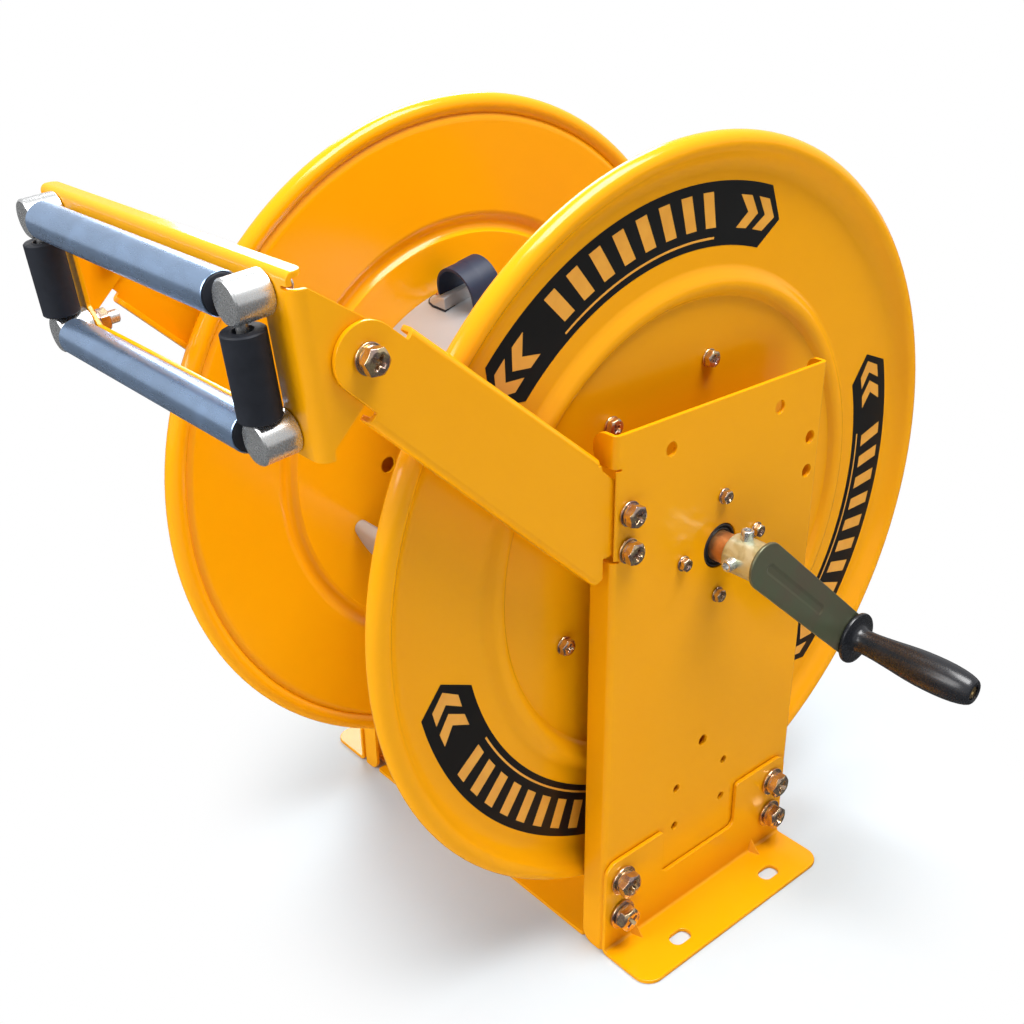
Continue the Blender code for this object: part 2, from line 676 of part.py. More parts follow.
def arm_outline():
    """The arm's side view, and where its two flanges start and end."""
    pivot = (GUIDE_PIVOT.y, GUIDE_PIVOT.z)
    top_y, top_z = ARM_TOP_SHOULDER
    low_y, low_z = ARM_LOW_SHOULDER
    top_end = Vector((-PEDESTAL_HALF_WIDTH - top_y, NOTCH_TOP + top_z))
    low_end = Vector((-PEDESTAL_HALF_WIDTH - low_y, NOTCH_BOTTOM - low_z))
    high = tangent_point(pivot, ARM_EDGE_RADIUS, top_end, 1)
    low = tangent_point(pivot, ARM_EDGE_RADIUS, low_end, -1)
    high_start = high + (top_end - high).normalized() * ARM_FLANGE_GAPS[0]
    low_start = low + (low_end - low).normalized() * ARM_FLANGE_GAPS[1]
    first = math.degrees(math.atan2(high.y - pivot[1], high.x - pivot[0]))
    last = math.degrees(math.atan2(low.y - pivot[1], low.x - pivot[0])) + 360
    nose = arc(pivot, ARM_END_RADIUS, first, last, 8)
    middle = Vector(pivot)
    high_step = high_start - (high - middle).normalized() * ARM_RELIEF
    low_step = low_start - (low - middle).normalized() * ARM_RELIEF
    edge = PEDESTAL_HALF_WIDTH + ARM_ELBOW
    back = ARM_BOLT_Y + TONGUE_BEHIND
    bottom = ARM_BOLT_HEIGHTS[0] - TONGUE_BELOW
    top = ARM_BOLT_HEIGHTS[1] + TONGUE_ABOVE
    tongue = [
        (-edge, NOTCH_BOTTOM - ARM_LOW_ELBOW),
        (-edge, NOTCH_BOTTOM + ARM_NECK[0]),
        (-NOTCH_EDGE, NOTCH_BOTTOM + ARM_NECK[0]),
        (-NOTCH_EDGE + TONGUE_NECK, bottom),
        (back - TONGUE_CHAMFER, bottom),
        (back, bottom + TONGUE_CHAMFER),
        (back, top - TONGUE_CHAMFER),
        (back - TONGUE_CHAMFER, top),
        (SHEET / 2 - PEDESTAL_HALF_WIDTH, NOTCH_TOP - ARM_NECK[1]),
        (-PEDESTAL_HALF_WIDTH - ARM_TOP_ELBOW[0], NOTCH_TOP + ARM_TOP_ELBOW[1]),
    ]
    outline = [*tongue, tuple(top_end), tuple(high_start), tuple(high_step), *nose]
    outline += [tuple(low_step), tuple(low_start), tuple(low_end)]
    top_index = len(tongue)
    low_index = len(outline) - 2
    return outline, top_index, low_index


def guide_arm(name, side, frame):
    outline, top_index, low_index = arm_outline()
    x = side * (ARM_X - SHEET / 2)
    inward = Vector((-side * (ARM_FLANGE - SHEET / 2), 0, 0))
    flanges = [(top_index, inward), (low_index, inward)]
    bend = ARM_BEND - SHEET / 2
    mesh = folded_sheet(name, [(x, y, z) for y, z in outline], flanges, bend, ARM_FLANGE_CORNER)
    made = piece(name, mesh, YELLOW, frame)
    solidify(made, SHEET)
    near, far = side * (ARM_X - 2 * SHEET), side * (ARM_X + SHEET)
    m8 = BOLTS["M8"][0] + HOLE_PLAY
    holes = [((near, ARM_BOLT_Y, z), (far, ARM_BOLT_Y, z), m8) for z in ARM_BOLT_HEIGHTS]
    pivot = Vector((0, GUIDE_PIVOT.y, GUIDE_PIVOT.z))
    across = Vector((1, 0, 0))
    holes.append((pivot + across * near, pivot + across * far, BOLTS["M8"][0] + RUNNING))
    boolean(made, bores("arm_holes", *holes))


def bearing(name, side, frame):
    """Flanged bearing inside a pedestal, its spigot in the plate and its bolts fitted."""
    plate = PEDESTAL_X - SHEET - GAP
    flange = plate - BEARING_FLANGE_THICKNESS
    boss = flange - BEARING_BOSS_LENGTH
    bore = SHAFT_RADIUS + RUNNING
    profile = [
        (bore, boss),
        (BEARING_BOSS_RADIUS, boss),
        (BEARING_BOSS_RADIUS, flange),
        (BEARING_FLANGE_RADIUS, flange),
        (BEARING_FLANGE_RADIUS, plate),
        (BEARING_SPIGOT_RADIUS, plate),
        (BEARING_SPIGOT_RADIUS, PEDESTAL_X + GAP),
        (bore, PEDESTAL_X + GAP),
    ]
    grip = SHEET + GAP + BEARING_FLANGE_THICKNESS / 2
    screw = bolt_mesh("flange_screw", "M5", grip, nut=False)
    meshes = [turned(name, profile, SMALL_ROUND)]
    for degrees in (0, 90, 180, 270):
        place = facing(polar(BEARING_BOLT_CIRCLE, degrees, PEDESTAL_X), (1, 0, 0))
        meshes.append(moved(screw, place))
    turn = Matrix.Rotation(0 if side > 0 else math.pi, 4, "Z")
    piece(name, fused(name, meshes), CAST, frame, turn)


def frame_bolts(frame):
    outside = FOOT_X + SHEET
    foot = bolt_mesh("foot_bolt", "M10", outside - ARM_X + SHEET)
    arm = bolt_mesh("arm_bolt", "M8", PEDESTAL_X - ARM_X + SHEET)
    pivot = bolt_mesh("pivot_bolt", "M8", ARM_X - EAR_X + SHEET)
    for word, side in SIDES:
        for end, y in zip(("front", "rear"), FOOT_BOLT_Y):
            for level, z in zip(("lower", "upper"), FOOT_BOLT_Z):
                place = facing((side * outside, y, z), (side, 0, 0))
                piece(f"{word}_{end}_{level}_foot_bolt", foot, PASSIVATED, frame, place)
        for level, z in zip(("lower", "upper"), ARM_BOLT_HEIGHTS):
            place = facing((side * PEDESTAL_X, ARM_BOLT_Y, z), (side, 0, 0))
            piece(f"{word}_{level}_arm_bolt", arm, PASSIVATED, frame, place)
        place = facing(GUIDE_PIVOT + Vector((side * ARM_X, 0, 0)), (side, 0, 0))
        piece(f"{word}_guide_pivot_bolt", pivot, PASSIVATED, frame, place)


# ---- Reel -------------------------------------------------------------------
def disc_profile():
    """Closed section of a disc: its sheet, the pressed bead and the rolled edge."""
    inner, outer = DISC_INNER, DISC_OUTER
    bead, half, high = BEAD_RADIUS, BEAD_HALF_WIDTH, BEAD_HEIGHT
    bore = SHAFT_RADIUS + RUNNING
    rim = (DISC_RADIUS - RIM_RADIUS, inner + RIM_OFFSET)
    inside = [
        (bore, inner),
        (bead - half + SKIN / 3, inner),
        (bead - half / 3, inner + high),
        (bead + half, inner),
    ]
    crease = math.degrees(math.asin(-RIM_OFFSET / RIM_RADIUS))
    curl = arc(rim, RIM_RADIUS, -180 - crease, 0, 3)[:-1] + arc(rim, RIM_RADIUS, 0, 180, 3)
    fillet = [(rim[0] - 1.6 * RIM_RADIUS, outer)]
    outside = [
        (bead + half + SKIN / 2, outer),
        (bead + half / 2, outer + high),
        (bead - half / 2 - SKIN / 4, outer + high),
        (bead - half - SKIN / 4, outer),
        (bore, outer),
    ]
    return inside + curl + fillet + outside


def disc(name, side, reel):
    place = Matrix.Rotation(0 if side > 0 else math.pi, 4, "Z")
    made = piece(name, turned(name, disc_profile(), ROUND), YELLOW, reel, place)
    near, far = DISC_INNER - SHEET, DISC_OUTER + SHEET
    m6 = BOLTS["M6"][0] + HOLE_PLAY
    spots = [(SIGHT_HOLE_AT[0], SIGHT_HOLE_AT[1], SIGHT_HOLE_RADIUS)]
    for centre in DRUM_PLATE_CENTRES:
        for turn in (-DRUM_BOLT_SPREAD, DRUM_BOLT_SPREAD):
            spots.append((DRUM_BOLT_RADIUS, centre + turn, m6))
    for degrees in AXLE_STUD_ANGLES:
        spots.append((AXLE_STUD_CIRCLE, degrees, m6))
    # The left disc is the right one turned about Z, so its angles are mirrored back.
    holes = []
    for radius, degrees, size in spots:
        shown = degrees if side > 0 else 180 - degrees
        holes.append((polar(radius, shown, near), polar(radius, shown, far), size))
    boolean(made, bores("disc_holes", *holes))


def drum_plate(name, centre, reel):
    """Curved sheet between the discs, with a hem tube along each edge and its left bolts."""
    end = DISC_INNER - GAP
    outer, inner = DRUM_RADIUS, DRUM_RADIUS - SKIN
    profile = [(inner, -end), (outer, -end), (outer, end), (inner, end)]
    span = 2 * DRUM_BOLT_SPREAD
    sheet = turned(name, profile, PLATE_ROUND, start=centre - DRUM_BOLT_SPREAD, span=span)
    meshes = [capped(sheet)]
    across = Vector((1, 0, 0))
    screw = bolt_mesh("left_disc_bolt", "M6", DISC_OUTER - end + DRUM_BOLT_REACH, nut=False)
    for turn in (-DRUM_BOLT_SPREAD, DRUM_BOLT_SPREAD):
        spot = polar(DRUM_BOLT_RADIUS, centre + turn)
        meshes.append(rods("hem", (spot - across * end, spot + across * end, DRUM_HEM_RADIUS)))
        meshes.append(moved(screw, facing(spot - across * DISC_OUTER, (-1, 0, 0))))
    made = piece(name, fused(name, meshes), GALVANISED, reel)
    bore = BOLTS["M6"][0] + RUNNING
    for turn in (-DRUM_BOLT_SPREAD, DRUM_BOLT_SPREAD):
        spot = polar(DRUM_BOLT_RADIUS, centre + turn)
        deep = end - DRUM_BOLT_REACH - 2 * SHEET
        way = (spot + across * deep, spot + across * (end + SHEET), bore)
        boolean(made, bores("hem_bore", way))


def capped(mesh):
    """Closes the two ends of a section that was turned part of the way round."""
    bm = bmesh.new()
    bm.from_mesh(mesh)
    bmesh.ops.holes_fill(bm, edges=[edge for edge in bm.edges if edge.is_boundary])
    return finished(bm, mesh.name)


def disc_bolts(reel):
    grip = DISC_OUTER - DISC_INNER + GAP + DRUM_BOLT_REACH
    mesh = bolt_mesh("disc_bolt", "M6", grip, nut=False)
    count = 0
    for centre in DRUM_PLATE_CENTRES:
        for turn in (-DRUM_BOLT_SPREAD, DRUM_BOLT_SPREAD):
            count += 1
            place = facing(polar(DRUM_BOLT_RADIUS, centre + turn, DISC_OUTER), (1, 0, 0))
            piece(f"right_disc_bolt_{count}", mesh, PASSIVATED, reel, place)


def axle(reel):
    """Shaft, centre tube and the flanges that the discs are bolted to."""
    face = DISC_INNER - GAP
    back = face - AXLE_FLANGE_THICKNESS
    right_end = CRANK_X - 2 * GAP
    chamber = CLAMP_X + 2 * RISER_RADIUS
    profile = [
        (0, right_end),
        (SHAFT_RADIUS, right_end),
        (SHAFT_RADIUS, face),
        (AXLE_FLANGE_RADIUS, face),
        (AXLE_FLANGE_RADIUS, back),
        (AXLE_TUBE_RADIUS, back),
        (AXLE_TUBE_RADIUS, -back),
        (AXLE_FLANGE_RADIUS, -back),
        (AXLE_FLANGE_RADIUS, -face),
        (SHAFT_RADIUS, -face),
        (SHAFT_RADIUS, AXLE_LEFT_END),
        (SHAFT_BORE, AXLE_LEFT_END),
        (SHAFT_BORE, -back),
        (AXLE_TUBE_BORE, -back),
        (AXLE_TUBE_BORE, chamber),
        (0, chamber),
    ]
    meshes = [turned("axle", profile, SMALL_ROUND, closed=False)]
    stud = bolt_mesh("axle_stud", "M6", SKIN + GAP + AXLE_FLANGE_THICKNESS / 2, nut=False)
    for _, side in SIDES:
        for degrees in AXLE_STUD_ANGLES:
            spot = polar(AXLE_STUD_CIRCLE, degrees, side * DISC_OUTER)
            meshes.append(moved(stud, facing(spot, (side, 0, 0))))
    made = piece("axle", fused("axle", meshes), ZINC, reel)
    port = polar(AXLE_TUBE_RADIUS + SHEET, RISER_ANGLE, CLAMP_X)
    boolean(made, bores("axle_port", ((CLAMP_X, 0, 0), port, SHAFT_BORE)))


def around_drum(degrees):
    """The frame whose Z points outward at an angle round the drum, and -Y onward."""
    return Matrix.Rotation(math.radians(degrees - 90), 4, "X")


def pipe(name, path, radius):
    """A round bar along a path, with closed ends."""
    curve = bpy.data.curves.new(name, "CURVE")
    curve.dimensions = "3D"
    curve.bevel_depth = radius
    curve.bevel_resolution = 2
    curve.use_fill_caps = True
    spline = curve.splines.new("POLY")
    spline.points.add(len(path) - 1)
    for point, place in zip(spline.points, path):
        point.co = (*place, 1)
    drawn = bpy.data.objects.new(name, curve)
    CUTTERS.objects.link(drawn)
    bm = bmesh.new()
    bm.from_mesh(evaluated_mesh(drawn))
    bpy.data.objects.remove(drawn)
    bmesh.ops.remove_doubles(bm, verts=bm.verts, dist=1e-6)
    return finished(bm, name)


def riser_path(base, end):
    """Out from the axle, then a quarter turn onward round the drum."""
    elbow = arc((-RISER_TURN, RISER_HEIGHT), RISER_TURN, 0, 90, 5)
    path = [(0, base), *elbow, (-end, RISER_HEIGHT + RISER_TURN)]
    return [(CLAMP_X, y, z) for y, z in path]


def outlet_riser(reel):
    """Elbow that leads the hose from the axle's tube to the gap behind the clamp."""
    base = AXLE_TUBE_RADIUS + GAP
    tube = pipe("outlet_riser", riser_path(base, RISER_END), RISER_RADIUS)
    height = RISER_HEIGHT + RISER_TURN
    nut = bmesh.new()
    near, far = (Vector((CLAMP_X, back - RISER_END, height)) for back in RISER_NUT_SPAN)
    add_rod(nut, near, far, RISER_NUT_RADIUS, 6)
    mesh = fused("outlet_riser", [tube, finished(nut, "riser_nut")])
    made = piece("outlet_riser", mesh, ZINC, reel, around_drum(RISER_ANGLE))
    boolean(made, pipe("riser_bore", riser_path(base - SHEET, RISER_END + SHEET), SHAFT_BORE))


def clamp_band(reel):
    """Arched strap that holds the hose's first turn down on the drum."""
    spring = DRUM_RADIUS + CLAMP_HEIGHT - CLAMP_RADIUS
    centre = (CLAMP_X, spring)
    outer = arc(centre, CLAMP_RADIUS, 0, 180, 12)
    inner = arc(centre, CLAMP_RADIUS - CLAMP_BAND, 180, 0, 12)
    left = CLAMP_X - CLAMP_RADIUS
    right = CLAMP_X + CLAMP_RADIUS
    saddle_top = DRUM_RADIUS + STRAP_FOOT
    floor = DRUM_RADIUS + GAP
    outline = [(right, floor), *outer, (left, saddle_top), (left + CLAMP_BAND, saddle_top), *inner]
    outline.append((right - CLAMP_BAND, floor))
    mesh = prism("clamp_band", [outline], -CLAMP_HALF_LENGTH, CLAMP_HALF_LENGTH, PLANE_XZ)
    piece("clamp_band", mesh, RUBBER, reel, around_drum(CLAMP_ANGLE))


def clamp_saddle(reel):
    """Wedge under the strap's left foot, with an upright wall toward the hose."""
    wall = CLAMP_X - SADDLE_WALL
    tip = wall - SADDLE_LENGTH
    first, second, third = SADDLE_NOSE
    plan = [
        (wall, -CLAMP_HALF_LENGTH - first),
        (wall, CLAMP_HALF_LENGTH),
        (tip, CLAMP_HALF_LENGTH),
        (tip, -CLAMP_HALF_LENGTH),
        (tip + SADDLE_STEPS[1], -CLAMP_HALF_LENGTH - third),
        (tip + SADDLE_STEPS[0], -CLAMP_HALF_LENGTH - second),
    ]
    top = DRUM_RADIUS + SADDLE_HEIGHT
    deep = DRUM_RADIUS - 2 * SHEET
    made = prism("clamp_saddle", [plan], deep, top, PLANE_XY)
    made = piece("clamp_saddle", made, GALVANISED, reel, around_drum(CLAMP_ANGLE))
    slope = [
        (tip - SHEET, DRUM_RADIUS + SADDLE_TIP),
        (wall - SADDLE_SHELF, top),
        (wall - SADDLE_SHELF, top + SHEET),
        (tip - SHEET, top + SHEET),
    ]
    boolean(made, prism("saddle_slope", [slope], -DRUM_RADIUS / 4, DRUM_RADIUS / 4, PLANE_XZ))
    across = Vector((1, 0, 0))
    bed = (across * (tip - SHEET), across * (wall + SHEET), DRUM_RADIUS + GAP)
    boolean(made, bores("saddle_bed", bed, sides=ROUND))


# ---- Crank ------------------------------------------------------------------
def crank(reel):
    end = HUB_X + HUB_LENGTH
    bore = SHAFT_RADIUS + RUNNING
    chamfer = 0.001
    weld = 0.0025
    profile = [
        (bore, HUB_X),
        (HUB_RADIUS - chamfer, HUB_X),
        (HUB_RADIUS, HUB_X + chamfer),
        (HUB_RADIUS, end - weld),
        (HUB_RADIUS + weld * 0.6, end - weld / 2),
        (HUB_RADIUS + weld, end),
        (bore, end),
    ]
    hub = piece("crank_hub", turned("crank_hub", profile, SMALL_ROUND), PASSIVATED, reel)
    screw_x = HUB_X + SET_SCREW_AT
    screw = SET_SCREW_RADIUS
    for name, direction in (("crank_top_set_screw", (0, 0, 1)), ("crank_front_set_screw", (0, -1, 0))):
        along = Vector(direction)
        axis = Vector((screw_x, 0, 0))
        hole = bores("screw_hole", (axis, axis + along * 2 * HUB_RADIUS, screw + RUNNING))
        boolean(hub, hole)
        seat = SHAFT_RADIUS + GAP
        mesh = rods(name, ((0, 0, 0), (0, 0, SET_SCREW_LENGTH), screw), sides=12)
        piece(name, mesh, ZINC, reel, facing(axis + along * seat, direction))
    crank_arm(reel)


def crank_arm(reel):
    hub_half, grip_half = CRANK_HUB_END, CRANK_GRIP_END
    outline = arc((CRANK_LENGTH, 0), grip_half, -88, 88, 8) + arc((0, 0), hub_half, 92, 268, 10)
    hole = arc((CRANK_LENGTH, 0), GRIP_BOLT_RADIUS + GAP, 0, 330, 11)
    outer = CRANK_X + CRANK_THICKNESS
    mesh = prism("crank_arm", [outline, hole], CRANK_X, outer)
    turn = Matrix.Rotation(math.radians(CRANK_ANGLE), 4, "X")
    made = piece("crank_arm", mesh, OLIVE, reel, turn)
    start, end = GROOVE_SPAN
    ends = arc((start, 0), GROOVE_HALF_WIDTH, 90, 270, 6) + arc((end, 0), GROOVE_HALF_WIDTH, -90, 90, 6)
    boolean(made, prism("crank_groove", [ends], outer - GROOVE_DEPTH, outer + SHEET))


def grip(reel):
    """Grip on its own bolt, which is screwed through the arm from the grip's end."""
    length = GRIP_PROFILE[-1][1]
    floor = length - GRIP_COUNTERBORE
    bore = GRIP_BOLT_RADIUS + RUNNING
    recess = GRIP_BOLT_HEAD + 2 * RUNNING
    inside = [(recess, length), (recess, floor), (bore, floor), (bore, 0)]
    profile = [(radius, GRIP_X + along) for radius, along in (*GRIP_PROFILE, *inside)]
    place = Matrix.Translation(polar(CRANK_LENGTH, CRANK_ANGLE))
    piece("grip", turned("grip", profile), PLASTIC, reel, place)
    nut_face = CRANK_X - GAP
    head = GRIP_X + floor + GAP
    tip = nut_face - GRIP_NUT_HEIGHT - GRIP_BOLT_TIP
    shapes = (
        (tip, head + GRIP_HEAD_HEIGHT / 3, GRIP_BOLT_RADIUS, 12),
        (nut_face - GRIP_NUT_HEIGHT, nut_face, GRIP_NUT_RADIUS, 6),
        (head, head + GRIP_HEAD_HEIGHT, GRIP_BOLT_HEAD, 16),
    )
    meshes = []
    for start, end, radius, sides in shapes:
        bm = bmesh.new()
        add_rod(bm, (start, 0, 0), (end, 0, 0), radius, sides)
        meshes.append(finished(bm, "grip_bolt"))
    piece("grip_bolt", fused("grip_bolt", meshes), BRASS, reel, place)


# ---- Inlet ------------------------------------------------------------------
def inlet_swivel(frame):
    """Elbow that turns on the axle's left end, where the supply hose screws on."""
    start = -(PEDESTAL_X + SWIVEL_CLEARANCE)
    end = start - SWIVEL_LENGTH
    outlet = AXLE_LEFT_END - SWIVEL_OUTLET
    bore = SHAFT_RADIUS + RUNNING
    profile = [
        (0, outlet - SHAFT_BORE),
        (bore, outlet - SHAFT_BORE),
        (bore, start),
        (SWIVEL_RADIUS, start),
        (SWIVEL_RADIUS, end),
        (0, end),
    ]
    shell = turned("inlet_swivel", profile, SMALL_ROUND, closed=False)
    tail = bmesh.new()
    add_rod(tail, (outlet, 0, -0.8 * SWIVEL_RADIUS), (outlet, 0, -SWIVEL_TAIL), SWIVEL_TAIL_RADIUS)
    nut = bmesh.new()
    above, below = SWIVEL_NUT_SPAN
    add_rod(nut, (outlet, 0, -above), (outlet, 0, -below), SWIVEL_NUT_RADIUS, 6)
    meshes = [shell, finished(tail, "swivel_tail"), finished(nut, "swivel_nut")]
    made = piece("inlet_swivel", fused("inlet_swivel", meshes), BRASS, frame)
    way = ((outlet, 0, 0), (outlet, 0, -SWIVEL_TAIL - SHEET), SHAFT_BORE)
    boolean(made, bores("swivel_bore", way))


# ---- Hose guide -------------------------------------------------------------
def ear_cutter():
    """What is cut from the guide's side flanges to leave its two ears."""
    start = -GUIDE_FRONT + GUIDE_BEND
    high = (start, EAR_ROOT_TOP)
    low = (start, EAR_ROOT_BOTTOM)
    upper = tangent_point((0, 0), EAR_RADIUS, high, -1)
    lower = tangent_point((0, 0), EAR_RADIUS, low, 1)
    first = math.degrees(math.atan2(upper.y, upper.x))
    last = math.degrees(math.atan2(lower.y, lower.x))
    far = GUIDE_HALF_HEIGHT + EAR_RADIUS
    outline = [low, (start, -far), (far, -far), (far, far), (start, far), high]
    outline += arc((0, 0), EAR_RADIUS, first, last, 8)
    width = EAR_X + SHEET
    return prism("ear_cutter", [outline], -width, width)


def guide_bracket(guide):
    """Roller plate: a window, a lip along its top and an ear folded back at each end."""
    edge = EAR_X - SHEET / 2
    bottom = GUIDE_RISE - GUIDE_HALF_HEIGHT
    top = GUIDE_RISE + GUIDE_HALF_HEIGHT - SHEET / 2
    relief = EAR_X - GUIDE_BEND - GUIDE_RELIEF[0]
    shelf = EAR_ROOT_TOP + GUIDE_RELIEF[1]
    lip_end = EAR_X - GUIDE_LIP_INSET
    half = [
        (edge, bottom),
        (edge, EAR_ROOT_TOP),
        (relief, EAR_ROOT_TOP),
        (relief, shelf),
        (lip_end, shelf),
        (lip_end, top),
    ]
    outline = half + [(-x, z) for x, z in reversed(half)]
    last = len(outline)
    back = Vector((0, EAR_RADIUS + GUIDE_FRONT, 0))
    lip = Vector((0, GUIDE_LIP - SHEET / 2, 0))
    corners = [(x, GUIDE_MIDDLE, z) for x, z in outline]
    bend = GUIDE_BEND - SHEET / 2
    flanges = [(0, back), (last - 2, back)]
    sheet = folded_sheet("guide_bracket", corners, flanges, bend, 0.002)
    made = piece("guide_bracket", sheet, YELLOW, guide)
    add_lip(sheet, lip, top)
    solidify(made, SHEET)
    boolean(made, ear_cutter())
    holes = []
    across = Vector((1, 0, 0))
    near, far = EAR_X - 2 * SHEET, EAR_X + SHEET
    for _, side in SIDES:
        holes.append((across * side * near, across * side * far, BOLTS["M8"][0] + RUNNING))
        for z in (-POST_Z, POST_Z):
            spot = Vector((side * POST_X, 0, GUIDE_RISE + z))
            front = spot - Vector((0, GUIDE_FRONT + SHEET, 0))
            rear = spot - Vector((0, GUIDE_FRONT - 2 * SHEET, 0))
            holes.append((front, rear, BOLTS["M8"][0] + HOLE_PLAY))
    boolean(made, bores("guide_holes", *holes))
    x, z, cut = WINDOW_HALF_WIDTH, WINDOW_HALF_HEIGHT, WINDOW_CHAMFER
    quarter = [(x, -z + cut), (x, z - cut), (x - cut, z), (-x + cut, z), (-x, z - cut), (-x, -z + cut)]
    window = [(a, b + GUIDE_RISE) for a, b in (*quarter, (-x + cut, -z), (x - cut, -z))]
    boolean(made, prism("window", [window], GUIDE_FRONT - 2 * SHEET, GUIDE_FRONT + SHEET, PLANE_XZ))


def add_lip(mesh, vector, top):
    """Folds the lip back from the top edge of the guide's flat face."""
    bm = bmesh.new()
    bm.from_mesh(mesh)
    edges = [edge for edge in bm.edges if all(abs(vert.co.z - top) < 1e-6 for vert in edge.verts)]
    grown = bmesh.ops.extrude_edge_only(bm, edges=edges)["geom"]
    free = [item for item in grown if isinstance(item, bmesh.types.BMVert)]
    bmesh.ops.translate(bm, vec=vector, verts=free)
    bmesh.ops.bevel(bm, geom=free, offset=GUIDE_LIP_CORNER, segments=3, profile=0.5, affect="VERTICES")
    bmesh.ops.bevel(bm, geom=edges, offset=GUIDE_LIP_BEND, segments=2, profile=0.5, affect="EDGES")
    bmesh.ops.recalc_face_normals(bm, faces=bm.faces)
    bm.to_mesh(mesh)
    bm.free()


def post(name, side, level, guide):
    """Round post with a stud and nut behind the plate and a blind seat for each pin."""
    shank, flats, _, nut_height, _, washer_height = BOLTS["M8"]
    corner = flats / 2 / math.cos(math.pi / 6)
    chamfer = 0.001
    under = -SHEET - 2 * GAP
    tip = under - washer_height - nut_height - 0.002
    profile = [
        (0, POST_LENGTH),
        (POST_RADIUS - chamfer, POST_LENGTH),
        (POST_RADIUS, POST_LENGTH - chamfer),
        (POST_RADIUS, 0),
        (shank, 0),
        (shank, tip),
        (0, tip),
    ]
    body = turned(name, profile, SMALL_ROUND, closed=False)
    nut = bmesh.new()
    nut_end = under - washer_height - nut_height
    add_rod(nut, (under, 0, 0), (nut_end, 0, 0), corner, 6, math.radians(30))
    mesh = fused(name, [body, finished(nut, "post_nut")])
    # The turned profile lies along X; here X points to the front of the guide.
    forward = Matrix.Rotation(math.radians(-90), 4, "Z")
    spot = Vector((side * POST_X, -GUIDE_FRONT - GAP, GUIDE_RISE + level * POST_Z))
    mesh.transform(forward)
    made = piece(name, mesh, ZINC, guide, Matrix.Translation(spot))
    axis = Vector((0, ROLLER_Y + GUIDE_FRONT + GAP, 0))
    for direction in ((-side, 0, 0), (0, 0, -level)):
        along = Vector(direction)
        start = axis + along * (POST_RADIUS - PIN_SEAT - GAP)
        seat = (start, axis + along * (POST_RADIUS + SHEET), PIN_RADIUS + RUNNING)
        boolean(made, bores("pin_seat", seat))


def roller_mesh(name, length):
    """A sleeve with a wide mouth at each end, along X."""
    chamfer = 0.0008
    mouth = 0.005
    bore = PIN_RADIUS + RUNNING
    half = length / 2
    right = [
        (bore, half - mouth),
        (ROLLER_CORE, half - mouth),
        (ROLLER_CORE, half),
        (ROLLER_RADIUS - chamfer, half),
        (ROLLER_RADIUS, half - chamfer),
    ]
    profile = right + [(radius, -x) for radius, x in reversed(right)]
    return turned(name, profile)


def rollers(guide):
    """Two wide and two short rollers, each turning on a pin held by two posts."""
    clear = ROLLER_PLAY / 2 + GAP
    wide = 2 * (POST_X - POST_RADIUS - clear)
    short = 2 * (POST_Z - POST_RADIUS) - ROLLER_PLAY - 2 * GAP
    reach = PIN_SEAT - POST_RADIUS
    upright = Matrix.Rotation(math.radians(-90), 4, "Y")
    for word, level in (("upper", 1), ("lower", -1)):
        spot = Matrix.Translation((0, ROLLER_Y, GUIDE_RISE + level * POST_Z))
        piece(f"{word}_roller", roller_mesh(f"{word}_roller", wide), RUBBER, guide, spot)
        half = POST_X + reach
        pin = rods(f"{word}_roller_pin", ((-half, 0, 0), (half, 0, 0), PIN_RADIUS), sides=12)
        piece(f"{word}_roller_pin", pin, ZINC, guide, spot)
    for word, side in SIDES:
        # A short roller rests on the lower post, so its play is all above it.
        rest = GUIDE_RISE - ROLLER_PLAY / 2
        spot = Matrix.Translation((side * POST_X, ROLLER_Y, rest)) @ upright
        piece(f"{word}_roller", roller_mesh(f"{word}_roller", short), RUBBER, guide, spot)
        spot = Matrix.Translation((side * POST_X, ROLLER_Y, GUIDE_RISE)) @ upright
        half = POST_Z + reach
        pin = rods(f"{word}_roller_pin", ((-half, 0, 0), (half, 0, 0), PIN_RADIUS), sides=12)
        piece(f"{word}_roller_pin", pin, ZINC, guide, spot)


# ---- Assembly ---------------------------------------------------------------
def build():
    axis = (0, 0, AXIS_HEIGHT)
    frame = empty("frame", axis)
    reel = empty("reel_axis", axis)
    guide = empty("guide_axis", GUIDE_PIVOT + Vector(axis), (math.radians(GUIDE_LEAN), 0, 0))
    base_plate(frame)
    for word, side in SIDES:
        pedestal(f"{word}_pedestal", side, frame)
        foot_bracket(f"{word}_foot_bracket", side, frame)
        guide_arm(f"{word}_guide_arm", side, frame)
        bearing(f"{word}_bearing", side, frame)
        disc(f"{word}_disc", side, reel)
    frame_bolts(frame)
    for name, centre in zip(("top", "front", "rear"), DRUM_PLATE_CENTRES):
        drum_plate(f"{name}_drum_plate", centre, reel)
    disc_bolts(reel)
    axle(reel)
    outlet_riser(reel)
    clamp_band(reel)
    clamp_saddle(reel)
    crank(reel)
    grip(reel)
    inlet_swivel(frame)
    guide_bracket(guide)
    for word, side in SIDES:
        for row, level in (("upper", 1), ("lower", -1)):
            post(f"{word}_{row}_post", side, level, guide)
    rollers(guide)


build()
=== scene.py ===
# %% [markdown]
# # A hand-crank hose reel
#
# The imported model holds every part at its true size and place, but with few facets and plain
# colours. This lesson gives each part its finished shape and surface. Nothing is moved: every new
# piece is modelled straight into its place, so the joints still work.

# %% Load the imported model
import json
import math

import bmesh
import bpy
from mathutils import Matrix, Vector
from mathutils.geometry import interpolate_bezier


